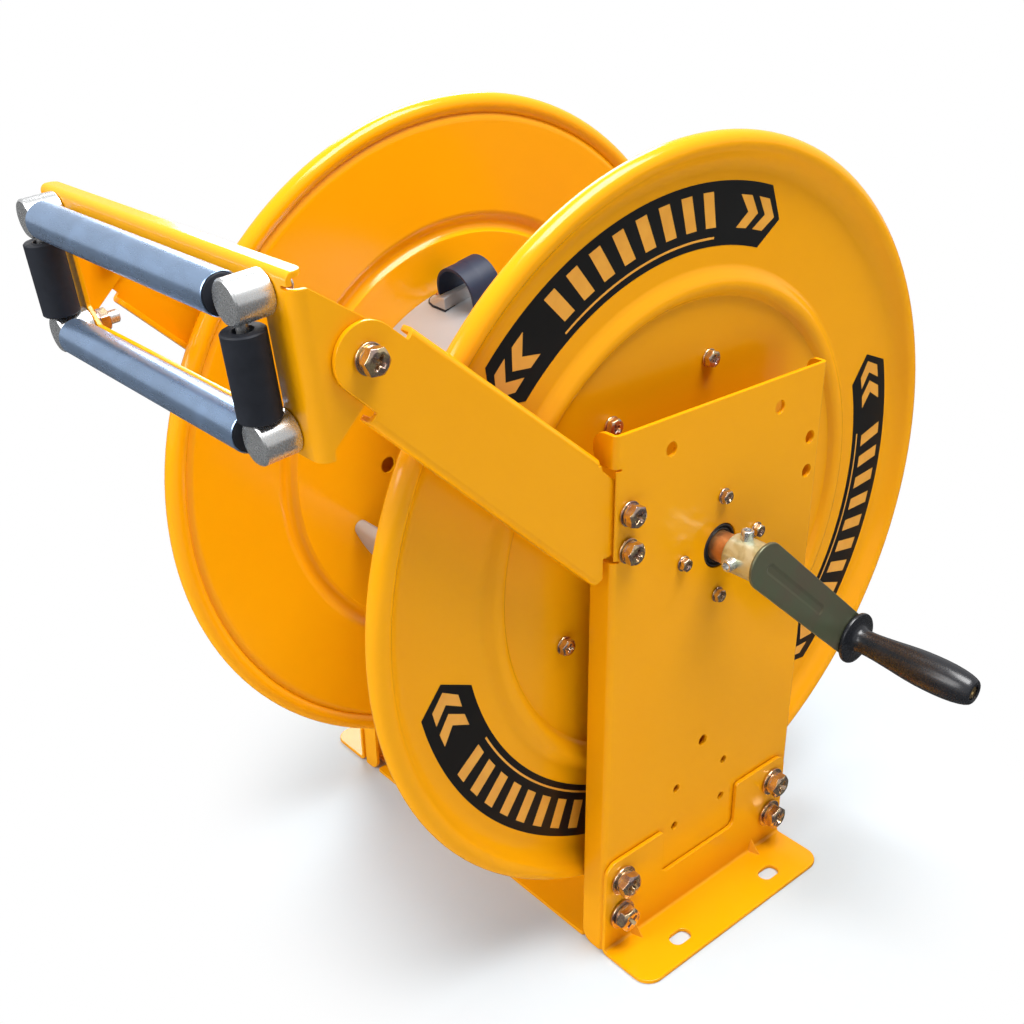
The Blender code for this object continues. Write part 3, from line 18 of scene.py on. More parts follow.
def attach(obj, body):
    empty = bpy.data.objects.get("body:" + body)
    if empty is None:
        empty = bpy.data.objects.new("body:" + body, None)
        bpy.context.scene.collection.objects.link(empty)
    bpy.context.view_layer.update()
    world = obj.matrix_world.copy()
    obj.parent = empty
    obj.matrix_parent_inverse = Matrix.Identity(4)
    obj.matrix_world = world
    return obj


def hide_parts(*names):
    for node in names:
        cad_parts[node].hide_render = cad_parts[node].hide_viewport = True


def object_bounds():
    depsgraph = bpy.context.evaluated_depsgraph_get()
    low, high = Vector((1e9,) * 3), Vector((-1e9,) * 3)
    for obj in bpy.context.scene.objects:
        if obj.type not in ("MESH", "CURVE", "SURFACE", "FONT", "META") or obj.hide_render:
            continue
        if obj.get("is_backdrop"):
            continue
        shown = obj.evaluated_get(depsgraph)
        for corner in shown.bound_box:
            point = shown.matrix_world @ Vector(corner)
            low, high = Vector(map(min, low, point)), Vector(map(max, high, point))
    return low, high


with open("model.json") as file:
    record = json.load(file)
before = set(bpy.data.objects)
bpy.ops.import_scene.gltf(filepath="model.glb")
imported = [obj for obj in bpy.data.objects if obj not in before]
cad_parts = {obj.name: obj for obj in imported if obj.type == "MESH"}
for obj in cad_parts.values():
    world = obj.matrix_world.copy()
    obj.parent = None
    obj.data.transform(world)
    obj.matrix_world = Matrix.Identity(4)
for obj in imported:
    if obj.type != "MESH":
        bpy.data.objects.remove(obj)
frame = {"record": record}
packed_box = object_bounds()
record = frame["record"]
body_of = {node: body for body, nodes in record["behaviour"]["bodies"].items() for node in nodes}
slot_of = {part["node"]: part["material_slot"] for part in record["subparts"]}
print("parts:", len(body_of), "bodies:", len(set(body_of.values())))

# %% [markdown]
# ## Shared places
#
# The reel turns about a line 280 mm above the floor. The roller guide hangs on a pivot in front
# of it and leans forward a little. A matrix for each lets a piece be drawn in simple numbers
# about its own axis and then be put where it belongs. Heights of holes and bolts count from the
# reel's axis, and the longer profiles are written in millimetres.


# %% Places that several pieces share
def moved(x=0.0, y=0.0, z=0.0):
    return Matrix.Translation((x, y, z))


def rotated(degrees, axis="Z"):
    return Matrix.Rotation(math.radians(degrees), 4, axis)


STILL = Matrix.Identity(4)
AXIS_HEIGHT = 0.280
REEL = moved(z=AXIS_HEIGHT)
GUIDE = moved(0, -0.254092, 0.461911) @ rotated(5.8, "X")
PIVOT = (GUIDE.translation.y, GUIDE.translation.z - AXIS_HEIGHT)
SIDES = (("right", 1), ("left", -1))
# A drawing's x, y and depth become y, z and x from the side, and x, z and -y from the front.
SIDE_VIEW = Matrix(((0, 0, 1, 0), (1, 0, 0, 0), (0, 1, 0, 0), (0, 0, 0, 1)))
FRONT_VIEW = Matrix(((1, 0, 0, 0), (0, 0, -1, 0), (0, 1, 0, 0), (0, 0, 0, 1)))

SHEET = 0.003  # thickness of the folded sheet
GAP = 0.0003  # what two touching pieces keep between them
NEAR = 1e-6  # points closer than this are one
PEDESTAL_FACE, ARM_FACE, EAR_FACE = 0.1413, 0.1380, 0.1347  # outer faces, from the middle
DISC_INNER, DISC_OUTER = 0.1080, 0.1100
FOOT_BOLT_Y, FOOT_BOLT_Z = (-0.082, 0.075), (-0.2515, -0.2218)
ARM_BOLT_Y, ARM_BOLT_Z = -0.0847, (0.0265, 0.0505)
BEARING_SCREW_RADIUS, FLANGE_SCREW_RADIUS, DISC_BOLT_RADIUS = 0.035, 0.024, 0.1144
FLANGE_SCREW_ANGLES = (30, 150, 270)
PLATE_CENTRES, PLATE_SPREAD = (105, 225, 345), 22.3
DISC_BOLT_ANGLES = [
    centre + turn for centre in PLATE_CENTRES for turn in (-PLATE_SPREAD, PLATE_SPREAD)
]
M10_HOLE, M8_HOLE, M6_HOLE, M5_HOLE, PIVOT_HOLE = 0.0055, 0.0045, 0.0035, 0.0030, 0.0043


def side_matrix(side):
    """Leaves a right-hand piece alone, and mirrors it for the left."""
    return Matrix.Diagonal((side, 1, 1, 1))


def stood_up(side, depth=0.0):
    """Stands a side-view drawing up, at a depth toward one side."""
    return side_matrix(side) @ moved(depth) @ SIDE_VIEW


def facing(point, direction):
    """A place whose Z looks along a direction."""
    look = Vector(direction).to_track_quat("Z", "Y").to_matrix().to_4x4()
    return Matrix.Translation(point) @ look


def on_side(side, along, y=0.0, z=0.0):
    """A place by the reel's axis whose Z looks out toward one side."""
    return REEL @ facing((side * along, y, z), (side, 0, 0))


def on_circle(radius, degrees):
    """Y and Z of a point round the reel's axis, measured from +Y toward +Z."""
    angle = math.radians(degrees)
    return radius * math.cos(angle), radius * math.sin(angle)


# %% Lines of points
def mm(*points):
    """Points that are given in millimetres, in metres."""
    return [tuple(number / 1000 for number in point) for point in points]


def lifted(profile, height):
    return [(radius, height + rise) for radius, rise in profile]


def both_ends(half):
    """A profile that is the same below its middle as above."""
    return half + [(radius, -height) for radius, height in reversed(half)]


def mirrored(points):
    """Points mirrored in x, in the order that carries their line on."""
    return [(-point[0], *point[1:]) for point in reversed(points)]


def arc(centre, radius, first, last, steps):
    """Points of an arc, from one angle in degrees to another."""
    angles = [math.radians(first + (last - first) * step / steps) for step in range(steps + 1)]
    return [(centre[0] + radius * math.cos(a), centre[1] + radius * math.sin(a)) for a in angles]


# %% [markdown]
# ## The camera
#
# A camera can be aimed by hand until the picture looks right, or solved from points of known
# shape, such as the two round discs. This one was solved, so it is set by its three axes.


# %% Camera at the photograph's viewing angle
def add_object(name, data):
    made = bpy.data.objects.new(name, data)
    bpy.context.scene.collection.objects.link(made)
    return made


def to_mesh(bm, name):
    mesh = bpy.data.meshes.new(name)
    bm.to_mesh(mesh)
    bm.free()
    return mesh


lens = bpy.data.cameras.new("photo_camera")
lens.sensor_width = 36
lens.lens = 43.395
camera = add_object("photo_camera", lens)
view_right = Vector((0.6547, 0.7558, -0.0098))
view_up = Vector((-0.3250, 0.2932, 0.8991))
view_back = Vector((0.6824, -0.5855, 0.4376))
turned_view = Matrix((view_right, view_up, view_back)).transposed().to_4x4()
camera.matrix_world = moved(0.580476, -0.549628, 0.641536) @ turned_view
bpy.context.scene.camera = camera
bpy.context.scene.view_settings.view_transform = "Standard"

# %% [markdown]
# ## Light and floor
#
# The broad main lamp hangs almost overhead, so the feet and the inside of the far disc are lit
# and the shadow stays near. One weaker lamp stands in front and one behind, where the guide's
# lip mirrors it. A gloss coating mirrors floor and sky too, and white ones would veil its colour,
# so both are dimmer in reflections than they look. The floor fades to white away from the
# object, and is paler for the light that it throws back up than for the camera.


# %% Lamps
def soft_lamp(name, place, size, watts):
    data = bpy.data.lights.new(name, "AREA")
    data.size = size
    data.energy = watts
    aim = Vector((0, 0, 0.25)) - Vector(place)
    aimed = aim.to_track_quat("-Z", "Y").to_matrix().to_4x4()
    add_object(name, data).matrix_world = moved(*place) @ aimed


soft_lamp("key_lamp", (0.46, 0.20, 2.05), 1.1, 56)
soft_lamp("front_lamp", (-0.30, -1.70, 1.40), 1.2, 33)
soft_lamp("rear_lamp", (-1.23, 0.70, 1.37), 0.9, 22)


# %% World and floor
def add_node(tree, kind, values=None, **settings):
    """A new node with its settings, then the values of its inputs."""
    node = tree.nodes.new("ShaderNode" + kind)
    for setting, value in settings.items():
        setattr(node, setting, value)
    for socket, value in (values or {}).items():
        node.inputs[socket].default_value = value
    return node


def wire(tree, *joins):
    """Joins nodes. Each join is a node and its output, then a node and its input."""
    for source, output, target, entry in joins:
        tree.links.new(source.outputs[output], target.inputs[entry])


SKY_LIGHT, SKY_MIRRORED, FLOOR_MIRRORED = 0.24, 0.60, 0.12
FLOOR_LIT, FLOOR_SEEN = (0.84, 0.87, 0.90, 1), (0.52, 0.58, 0.62, 1)
FADE_FROM, FADE_TO, FADE_CENTRE = 0.19, 0.34, (0, 0.05, 0)

world = bpy.data.worlds.new("studio")
world.use_nodes = True
bpy.context.scene.world = world
tree = world.node_tree
sky = tree.nodes["Background"]
sky.inputs["Color"].default_value = (1, 1, 1, 1)
path = add_node(tree, "LightPath")
dimmed = add_node(tree, "MapRange", {"To Min": SKY_LIGHT, "To Max": SKY_MIRRORED})
seen = add_node(tree, "Math", operation="MAXIMUM")
wire(
    tree,
    (path, "Is Glossy Ray", dimmed, "Value"),
    (path, "Is Camera Ray", seen, 0),
    (dimmed, 0, seen, 1),
    (seen, 0, sky, "Strength"),
)

floor_look = bpy.data.materials.new("pale_floor")
floor_look.use_nodes = True
tree = floor_look.node_tree
paper = tree.nodes["Principled BSDF"]
paper.inputs["Roughness"].default_value = 0.9
path = add_node(tree, "LightPath")
place = add_node(tree, "TexCoord")
reach = add_node(tree, "VectorMath", {1: FADE_CENTRE}, operation="DISTANCE")
fade_ends = {"From Min": FADE_FROM, "From Max": FADE_TO}
fade = add_node(tree, "MapRange", fade_ends, interpolation_type="SMOOTHSTEP")
shade = add_node(tree, "Mix", {"A": FLOOR_LIT, "B": FLOOR_SEEN}, data_type="RGBA")
share = add_node(tree, "Math", operation="MULTIPLY")
white = add_node(tree, "Emission")
blend = add_node(tree, "MixShader")
dim = add_node(tree, "Emission", {"Color": (*[FLOOR_MIRRORED] * 3, 1)})
reflected = add_node(tree, "MixShader")
wire(
    tree,
    (place, "Object", reach, 0),
    (reach, "Value", fade, "Value"),
    (path, "Is Camera Ray", shade, "Factor"),
    (shade, "Result", paper, "Base Color"),
    (fade, 0, share, 0),
    (path, "Is Camera Ray", share, 1),
    (share, 0, blend, 0),
    (paper, 0, blend, 1),
    (white, 0, blend, 2),
    (path, "Is Glossy Ray", reflected, 0),
    (blend, 0, reflected, 1),
    (dim, 0, reflected, 2),
    (reflected, 0, tree.nodes["Material Output"], "Surface"),
)

bm = bmesh.new()
bmesh.ops.create_grid(bm, x_segments=1, y_segments=1, size=6)
bmesh.ops.translate(bm, vec=(0, 0, -0.0002), verts=bm.verts)
floor = add_object("floor", to_mesh(bm, "floor"))
floor.data.materials.append(floor_look)
floor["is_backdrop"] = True

# %% [markdown]
# ## Effects that several finishes share
#
# Powder coating, plating, rubber and plastic all vary a little over their surface. Two node
# groups give them that: one shifts a colour in soft patches, the other raises a fine texture.
# Each finish sets its own sizes. Both read Object coordinates, so they stay put on the part.


# %% Node groups: patches and texture
def new_group(name, inputs, outputs):
    """A node group with its sockets; returns it and its two ends."""
    group = bpy.data.node_groups.new(name, "ShaderNodeTree")
    for label, kind, value in inputs:
        socket = group.interface.new_socket(
            label, in_out="INPUT", socket_type="NodeSocket" + kind
        )
        socket.default_value = value
    for label, kind in outputs:
        group.interface.new_socket(label, in_out="OUTPUT", socket_type="NodeSocket" + kind)
    return group, group.nodes.new("NodeGroupInput"), group.nodes.new("NodeGroupOutput")


GREY = (0.5, 0.5, 0.5, 1)
patches, start, end = new_group(
    "patches",
    [
        ("Colour", "Color", GREY),
        ("Second Colour", "Color", GREY),
        ("Scale", "Float", 20),
        ("Contrast", "Float", 1),
    ],
    [("Colour", "Color"), ("Mask", "Float")],
)
place = add_node(patches, "TexCoord")
cloud = add_node(patches, "TexNoise", {"Detail": 4, "Distortion": 0.6})
# Contrast spreads the noise about its middle: noise times contrast, plus half of what is left.
offset = add_node(patches, "Math", {1: -0.5, 2: 0.5}, operation="MULTIPLY_ADD")
spread = add_node(patches, "Math", operation="MULTIPLY_ADD", use_clamp=True)
mixed = add_node(patches, "Mix", data_type="RGBA")
wire(
    patches,
    (place, "Object", cloud, "Vector"),
    (start, "Scale", cloud, "Scale"),
    (start, "Contrast", offset, 0),
    (cloud, "Fac", spread, 0),
    (start, "Contrast", spread, 1),
    (offset, 0, spread, 2),
    (spread, 0, mixed, "Factor"),
    (start, "Colour", mixed, "A"),
    (start, "Second Colour", mixed, "B"),
    (mixed, "Result", end, "Colour"),
    (spread, 0, end, "Mask"),
)

texture, start, end = new_group(
    "fine_texture",
    [
        ("Scale", "Float", 400),
        ("Stretch", "Vector", (1, 1, 1)),
        ("Height", "Float", 0.00002),
        ("Roughness", "Float", 0.3),
        ("Roughness Shift", "Float", 0.05),
    ],
    [("Normal", "Vector"), ("Roughness", "Float")],
)
place = add_node(texture, "TexCoord")
stretched = add_node(texture, "VectorMath", operation="MULTIPLY")
grain = add_node(texture, "TexNoise", {"Detail": 3})
raised = add_node(texture, "Math", operation="MULTIPLY")
bump = add_node(texture, "Bump", {"Distance": 1.0})
shift = add_node(texture, "Math", operation="MULTIPLY_ADD")
wire(
    texture,
    (place, "Object", stretched, 0),
    (start, "Stretch", stretched, 1),
    (stretched, 0, grain, "Vector"),
    (start, "Scale", grain, "Scale"),
    (grain, "Fac", raised, 0),
    (start, "Height", raised, 1),
    (raised, 0, bump, "Height"),
    (bump, 0, end, "Normal"),
    (grain, "Fac", shift, 0),
    (start, "Roughness Shift", shift, 1),
    (start, "Roughness", shift, 2),
    (shift, 0, end, "Roughness"),
)

# %% [markdown]
# ## The finishes
#
# Every finish is one Principled shader with the two groups in front of it. Yellow powder coat is
# glossy enough to mirror the bolts that stand on it, with a faint orange peel. The fasteners are
# zinc plated and yellow passivated, which drifts from gold to pink to green over one bolt head.


# %% Finishes
def finish(
    name, colour, second, metal, rough, grain,
    patch=(30, 1.5), stretch=(1, 1, 1), shift=0.06, gloss=0.5,
):
    """Two colours in patches (scale, contrast), and a grain (scale, height in metres)."""
    look = bpy.data.materials.new(name)
    look.use_nodes = True
    tree = look.node_tree
    shader = tree.nodes["Principled BSDF"]
    shader.inputs["Metallic"].default_value = metal
    shader.inputs["Specular IOR Level"].default_value = gloss
    values = {"Colour": (*colour, 1), "Second Colour": (*second, 1)}
    values |= {"Scale": patch[0], "Contrast": patch[1]}
    colours = add_node(tree, "Group", values, node_tree=patches)
    values = {"Scale": grain[0], "Height": grain[1], "Stretch": stretch}
    values |= {"Roughness": rough - shift / 2, "Roughness Shift": shift}
    relief = add_node(tree, "Group", values, node_tree=texture)
    wire(
        tree,
        (colours, "Colour", shader, "Base Color"),
        (relief, "Normal", shader, "Normal"),
        (relief, "Roughness", shader, "Roughness"),
    )
    return look


powder_coat = finish(
    "yellow_powder_coat", (0.871, 0.376, 0.002), (0.83, 0.335, 0.0015), 0, 0.15,
    (420, 1.5e-5), (5, 1.5), gloss=0.36,
)
galvanised = finish(
    "galvanised_sheet", (0.48, 0.50, 0.52), (0.42, 0.44, 0.46), 0.5, 0.42,
    (700, 6e-6), (22, 1.8), stretch=(0.2, 1, 1),
)
bright_zinc = finish(
    "bright_zinc", (0.78, 0.79, 0.79), (0.62, 0.63, 0.64), 0.88, 0.27,
    (900, 8e-6), (60, 2), stretch=(1, 3, 1),
)
passivated = finish(
    "yellow_passivated_steel", (0.80, 0.62, 0.36), (0.50, 0.36, 0.32), 0.97, 0.21,
    (600, 5e-6), (160, 4),
)
hub_plating = finish(
    "pale_passivated_steel", (0.72, 0.78, 0.62), (0.52, 0.54, 0.34), 0.8, 0.30,
    (500, 1e-5), (120, 4),
)
olive = finish(
    "olive_passivated_steel", (0.125, 0.155, 0.086), (0.150, 0.125, 0.080), 0.45, 0.30,
    (300, 1e-5), (35, 2.5),
)
# A warm copper brown, for the axle's short neck and the clamp's rivet.
copper = finish(
    "copper_brown_metal", (0.80, 0.38, 0.14), (0.45, 0.20, 0.08), 0.8, 0.35, (500, 1e-5), (120, 3)
)
# The long rollers' sleeves are dark rubber; their metallic blue is a painted reflection of blue sky.
sleeve_painted_sky_reflection = finish(
    "painted_sky_reflection_roller_sleeve", (0.360, 0.510, 0.760), (0.290, 0.400, 0.580), 0.85, 0.28,
    (260, 1e-5), (40, 2), stretch=(0.25, 1, 1), shift=0.12,
)
matt_rubber = finish(
    "matt_rubber", (0.009, 0.011, 0.017), (0.014, 0.017, 0.025), 0, 0.58,
    (900, 2e-5), (120, 2), gloss=0.3,
)
# The strap is black rubber; its blue tint is a painted reflection of sky.
strap_rubber_painted_sky_tint = finish(
    "strap_rubber_painted_sky_tint", (0.010, 0.017, 0.040), (0.014, 0.022, 0.048), 0, 0.50,
    (700, 1.5e-5), (60, 2), gloss=0.3,
)
gloss_plastic = finish(
    "gloss_black_plastic", (0.010, 0.011, 0.014), (0.016, 0.017, 0.021), 0, 0.27,
    (350, 8e-6), (50, 2), shift=0.12,
)
polymer = finish(
    "bearing_polymer", (0.020, 0.020, 0.022), (0.032, 0.031, 0.030), 0, 0.42, (700, 1e-5)
)
brass = finish("brass", (0.66, 0.46, 0.20), (0.52, 0.36, 0.16), 1, 0.28, (600, 6e-6), (90, 2))
label_film = finish(
    "black_label_film", (0.006, 0.006, 0.006), (0.009, 0.009, 0.009), 0, 0.35,
    (300, 4e-6), gloss=0.3,
)
label_print = finish(
    "label_print", (0.80, 0.36, 0.03), (0.74, 0.32, 0.025), 0, 0.40, (500, 4e-6), (90, 3)
)
print("finishes:", len([look for look in bpy.data.materials if look.use_nodes]))

# %% [markdown]
# ## Making a finished piece
#
# A bmesh becomes an object here. Sheet gets its thickness from Solidify, every hard edge gets a
# small round from Bevel, and Weighted Normal keeps the flats flat next to those rounds. The
# result is stored as a plain mesh, so the object stays at the origin with its place in its mesh.

# %% From bmesh to piece
FINE_ROUND = 0.0002  # up to this, a round needs only one segment
SHARP_ANGLE = 38


def bake(made, name):
    """Makes an object's mesh what its modifiers show."""
    graph = bpy.context.evaluated_depsgraph_get()
    made.data = bpy.data.meshes.new_from_object(made.evaluated_get(graph))
    made.modifiers.clear()
    made.data.name = name


def add_piece(
    name, bm, look, body, slot, at=STILL, nodes=(), sheet=0.0, rounding=0.0, segments=0, turn=32
):
    """Finishes a bmesh as a visible piece. Edges that turn more than turn degrees are rounded."""
    put(bm, at)
    bmesh.ops.recalc_face_normals(bm, faces=bm.faces)
    made = add_object(name, to_mesh(bm, name))
    if sheet:
        wall = made.modifiers.new("sheet", "SOLIDIFY")
        wall.thickness = sheet
        wall.offset = 0
        wall.use_even_offset = True
    if rounding:
        edge = made.modifiers.new("rounding", "BEVEL")
        edge.width = rounding
        edge.segments = segments or (1 if rounding <= FINE_ROUND else 2)
        edge.limit_method = "ANGLE"
        edge.angle_limit = math.radians(turn)
        edge.use_clamp_overlap = False
        edge.miter_outer = "MITER_ARC"
    bake(made, name)
    made.data.shade_smooth()
    made.data.set_sharp_from_angle(angle=math.radians(SHARP_ANGLE))
    weighted = made.modifiers.new("flat_faces", "WEIGHTED_NORMAL")
    weighted.keep_sharp = True
    weighted.weight = 80
    bake(made, name)
    made.data.materials.clear()
    made.data.materials.append(look)
    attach(made, body)
    if nodes:
        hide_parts(*nodes)


def finish_node(node, bm, look, at=STILL, **how):
    """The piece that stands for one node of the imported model."""
    add_piece(f"{node}_piece", bm, look, body_of[node], slot_of[node], at, [node], **how)


def finish_sheet(node, bm, at, rounding=0.0006):
    finish_node(node, bm, powder_coat, at, sheet=SHEET, rounding=rounding)


# %% [markdown]
# ## Small tools
#
# These come back in almost every piece: move a mesh, add one to another, merge its points, round
# some corners, and push a row of edges on to make the next strip of faces.


# %% Tools for a bmesh
def put(bm, matrix):
    bmesh.ops.transform(bm, matrix=matrix, verts=bm.verts)
    return bm


def gather(target, source, matrix=STILL):
    """Adds one bmesh to another, at a place."""
    put(source, matrix)
    if matrix.determinant() < 0:
        bmesh.ops.reverse_faces(source, faces=source.faces)
    mesh = to_mesh(source, "gathered")
    target.from_mesh(mesh)
    bpy.data.meshes.remove(mesh)


def merge(bm, distance=NEAR):
    bmesh.ops.remove_doubles(bm, verts=bm.verts, dist=distance)


def round_off(bm, geometry, offset, segments=8, affect="VERTICES"):
    bmesh.ops.bevel(
        bm, geom=geometry, offset=offset, segments=segments, profile=0.5, affect=affect, material=-1
    )


def verts_in(geometry):
    return [item for item in geometry if isinstance(item, bmesh.types.BMVert)]


def edges_in(geometry):
    return [item for item in geometry if isinstance(item, bmesh.types.BMEdge)]


def with_ends(edges):
    """Edges and their points, as a spin wants them."""
    return edges + list(dict.fromkeys(vert for edge in edges for vert in edge.verts))


def spin(bm, geometry, centre, axis, degrees, steps, **more):
    """Sweeps points, edges or faces about an axis; returns the last ones."""
    angle = math.radians(degrees)
    more |= {"geom": geometry, "cent": centre, "axis": axis}
    return bmesh.ops.spin(bm, angle=angle, steps=steps, **more)["geom_last"]


def grow(bm, edges, vec):
    """Pushes edges along a vector; returns the new points and the new edges."""
    grown = bmesh.ops.extrude_edge_only(bm, edges=edges)["geom"]
    bmesh.ops.translate(bm, vec=vec, verts=verts_in(grown))
    return verts_in(grown), edges_in(grown)


def free_edges(bm, test):
    """Open edges whose two ends both pass a test."""
    return [e for e in bm.edges if e.is_boundary and all(test(vert.co) for vert in e.verts)]


def edges_at(bm, **where):
    """Open edges that lie at a coordinate, such as x=0.1."""
    return free_edges(bm, lambda co: all(abs(getattr(co, k) - v) < NEAR for k, v in where.items()))


def loop_edges(verts):
    """The edges that run between these points."""
    chosen = set(verts)
    near_by = dict.fromkeys(edge for vert in verts for edge in vert.link_edges)
    return [edge for edge in near_by if all(vert in chosen for vert in edge.verts)]


def ring(bm, radius, place=STILL, steps=48):
    return bmesh.ops.create_circle(bm, segments=steps, radius=radius, matrix=place)["verts"]


def cap(bm, verts):
    bmesh.ops.contextual_create(bm, geom=loop_edges(verts))


def bridge(bm, first, second):
    bmesh.ops.bridge_loops(bm, edges=loop_edges(first) + loop_edges(second))


def draw_line(bm, points, closed=False):
    """A row of edges through some points."""
    verts = [bm.verts.new(point) for point in points]
    return [bm.edges.new(pair) for pair in zip(verts, verts[1:] + (verts[:1] if closed else []))]


def hull_piece(points):
    """The convex body round some points."""
    bm = bmesh.new()
    made = bmesh.ops.convex_hull(bm, input=[bm.verts.new(point) for point in points])
    bmesh.ops.delete(bm, geom=made["geom_interior"], context="VERTS")
    bmesh.ops.dissolve_limit(bm, angle_limit=0.02, verts=bm.verts[:], edges=bm.edges[:])
    return bm


# %% [markdown]
# ## Turned shapes
#
# A lathe part is one profile and a spin. The profile is a list of radius and height, and the
# spin runs about Z, so that a place matrix can then point it anywhere.


# %% Spin a profile
def turned(profile, steps=48, closed=False):
    bm = bmesh.new()
    edges = draw_line(bm, [(radius, 0, height) for radius, height in profile], closed)
    spin(bm, with_ends(edges), (0, 0, 0), (0, 0, 1), 360, steps, use_merge=True)
    merge(bm)
    return bm


# %% [markdown]
# ## Flat blanks and folds
#
# Most of the frame is folded sheet. It starts as a flat blank: an outline with its holes, filled
# in one go. A fold is a short spin of an edge about the bend's own axis, then a straight flange
# extruded on from it. That is how a press brake makes it too, and it gives a true bend radius.


# %% Draw, fill and fold
def drawn_loop(corners):
    """A closed line. A corner's third number is the radius that rounds it."""
    bm = bmesh.new()
    verts = [bm.verts.new((*corner[:2], 0)) for corner in corners]
    bm.faces.new(verts)
    for index, (vert, corner) in enumerate(zip(verts, corners)):
        if len(corner) > 2:
            here = Vector(corner[:2])
            back = Vector(corners[index - 1][:2]) - here
            on = Vector(corners[(index + 1) % len(corners)][:2]) - here
            half_turn = (math.pi - back.angle(on)) / 2
            round_off(bm, [vert], corner[2] * math.tan(half_turn))
    bmesh.ops.delete(bm, geom=bm.faces[:], context="FACES_ONLY")
    return bm


def blank(corners, holes=(), cut_outs=()):
    """Flat sheet with round holes (x, y, radius) and other cut-outs."""
    bm = drawn_loop(corners)
    for x, y, radius in holes:
        ring(bm, radius, moved(x, y), 24 if radius < 0.008 else 64)
    for loop in cut_outs:
        gather(bm, drawn_loop(loop))
    bmesh.ops.triangle_fill(
        bm, use_beauty=True, use_dissolve=False, edges=bm.edges[:], normal=(0, 0, 1)
    )
    bmesh.ops.dissolve_limit(bm, angle_limit=0.01, verts=[], edges=bm.edges[:], delimit=set())
    return bm


def fold(bm, edges, outward, toward, radius, flange=0.0, corner=0.0, steps=8, angle=90):
    """Bends the sheet on from some edges, adds a straight flange and rounds its corners.

    Outward points off the edge in the sheet's own plane, and toward is where the flange points.
    """
    outward, toward = Vector(outward), Vector(toward)
    centre = edges[0].verts[0].co + toward * radius
    bent = spin(bm, with_ends(edges), centre, outward.cross(toward), angle, steps)
    if flange:
        free, _ = grow(bm, edges_in(bent), toward * flange)
        round_off(bm, [vert for vert in free if len(vert.link_faces) == 1], corner)
    merge(bm)


# %% [markdown]
# ## Pedestals
#
# Each pedestal is a 3 mm plate with both long edges folded back, which makes it a stiff channel.
# The front fold opens half way up, where the guide arm's tongue goes in, and between the two
# slits there the edge is only bent half over. Spare holes let a maker mount the arm on either
# edge.

# %% Pedestals
BEND = 0.0025
front_flat, rear_flat, slit_end, top = -0.0925, 0.0925, -0.0910, 0.1004
slits = ((0.0203, 0.0217), (0.0786, 0.0800))
foot_holes = [(y, z, M10_HOLE) for y in FOOT_BOLT_Y for z in FOOT_BOLT_Z]
holes = [(0, 0, 0.0150), (-0.0032, -0.1486, 0.004)]
reach = BEARING_SCREW_RADIUS
holes += [(y, z, M5_HOLE) for y, z in ((reach, 0), (-reach, 0), (0, reach), (0, -reach))]
holes += [(y, z, M8_HOLE) for y in (ARM_BOLT_Y, -ARM_BOLT_Y) for z in ARM_BOLT_Z]
holes += [(y, 0.0804, M8_HOLE) for y in (-0.050, 0.050)]
holes += [(y, z, 0.003) for y in (-0.0277, 0.021) for z in (-0.177, -0.209)]
outline = [(front_flat, -AXIS_HEIGHT)]
for low, high in slits:
    outline += [(front_flat, low), (slit_end, low), (slit_end, high), (front_flat, high)]
outline += [(front_flat, top), (rear_flat, top), (rear_flat, -AXIS_HEIGHT)]
for word, side in SIDES:
    bm = blank(outline, holes + foot_holes)
    edges = free_edges(bm, lambda co: abs(co.x - front_flat) < NEAR and 0.021 < co.y < 0.079)
    fold(bm, edges, (-1, 0, 0), (0, 0, -1), BEND, steps=4, angle=45)
    for outward, flat, flange in ((-1, front_flat, 0.0145), (1, rear_flat, 0.0105)):
        edges = edges_at(bm, x=flat)
        fold(bm, edges, (outward, 0, 0), (0, 0, -1), BEND, flange=flange, corner=flange * 0.62)
    finish_sheet(f"{word}_pedestal", bm, REEL @ stood_up(side, PEDESTAL_FACE - SHEET / 2))

# %% [markdown]
# ## Foot brackets
#
# An angle outside each pedestal carries two slots for the floor bolts. Two pressed darts stiffen
# its corner. A dart could be pushed into the sheet, but from outside only its ridge shows, so a
# small hull of four points set into the corner does the same with less work.

# %% Foot brackets
FOOT_BEND = 0.0035
foot_x = PEDESTAL_FACE + GAP + SHEET / 2
on_floor = SHEET / 2 - AXIS_HEIGHT
foot_shift = -0.0035
half = [
    (0.0935, on_floor + FOOT_BEND),
    (0.0935, -0.2045, 0.010),
    (0.0380, -0.2045, 0.003),
    (0.0380, -0.2415, 0.006),
]
upright = [(y + foot_shift, *rest) for y, *rest in half + mirrored(half)]
reach = 0.0440 - SHEET / 2
foot_outline = [(FOOT_BEND, -0.097), (reach, -0.097, 0.012), (reach, 0.090, 0.012)]
foot_outline += [(FOOT_BEND, 0.090)]
slot_corners = ((0.0211, -0.0083), (0.0315, -0.0083), (0.0315, 0.0083), (0.0211, 0.0083))
slots = [[(x, middle + y, 0.0050) for x, y in slot_corners] for middle in (-0.048, 0.048)]
dart_x = foot_x - 0.0005
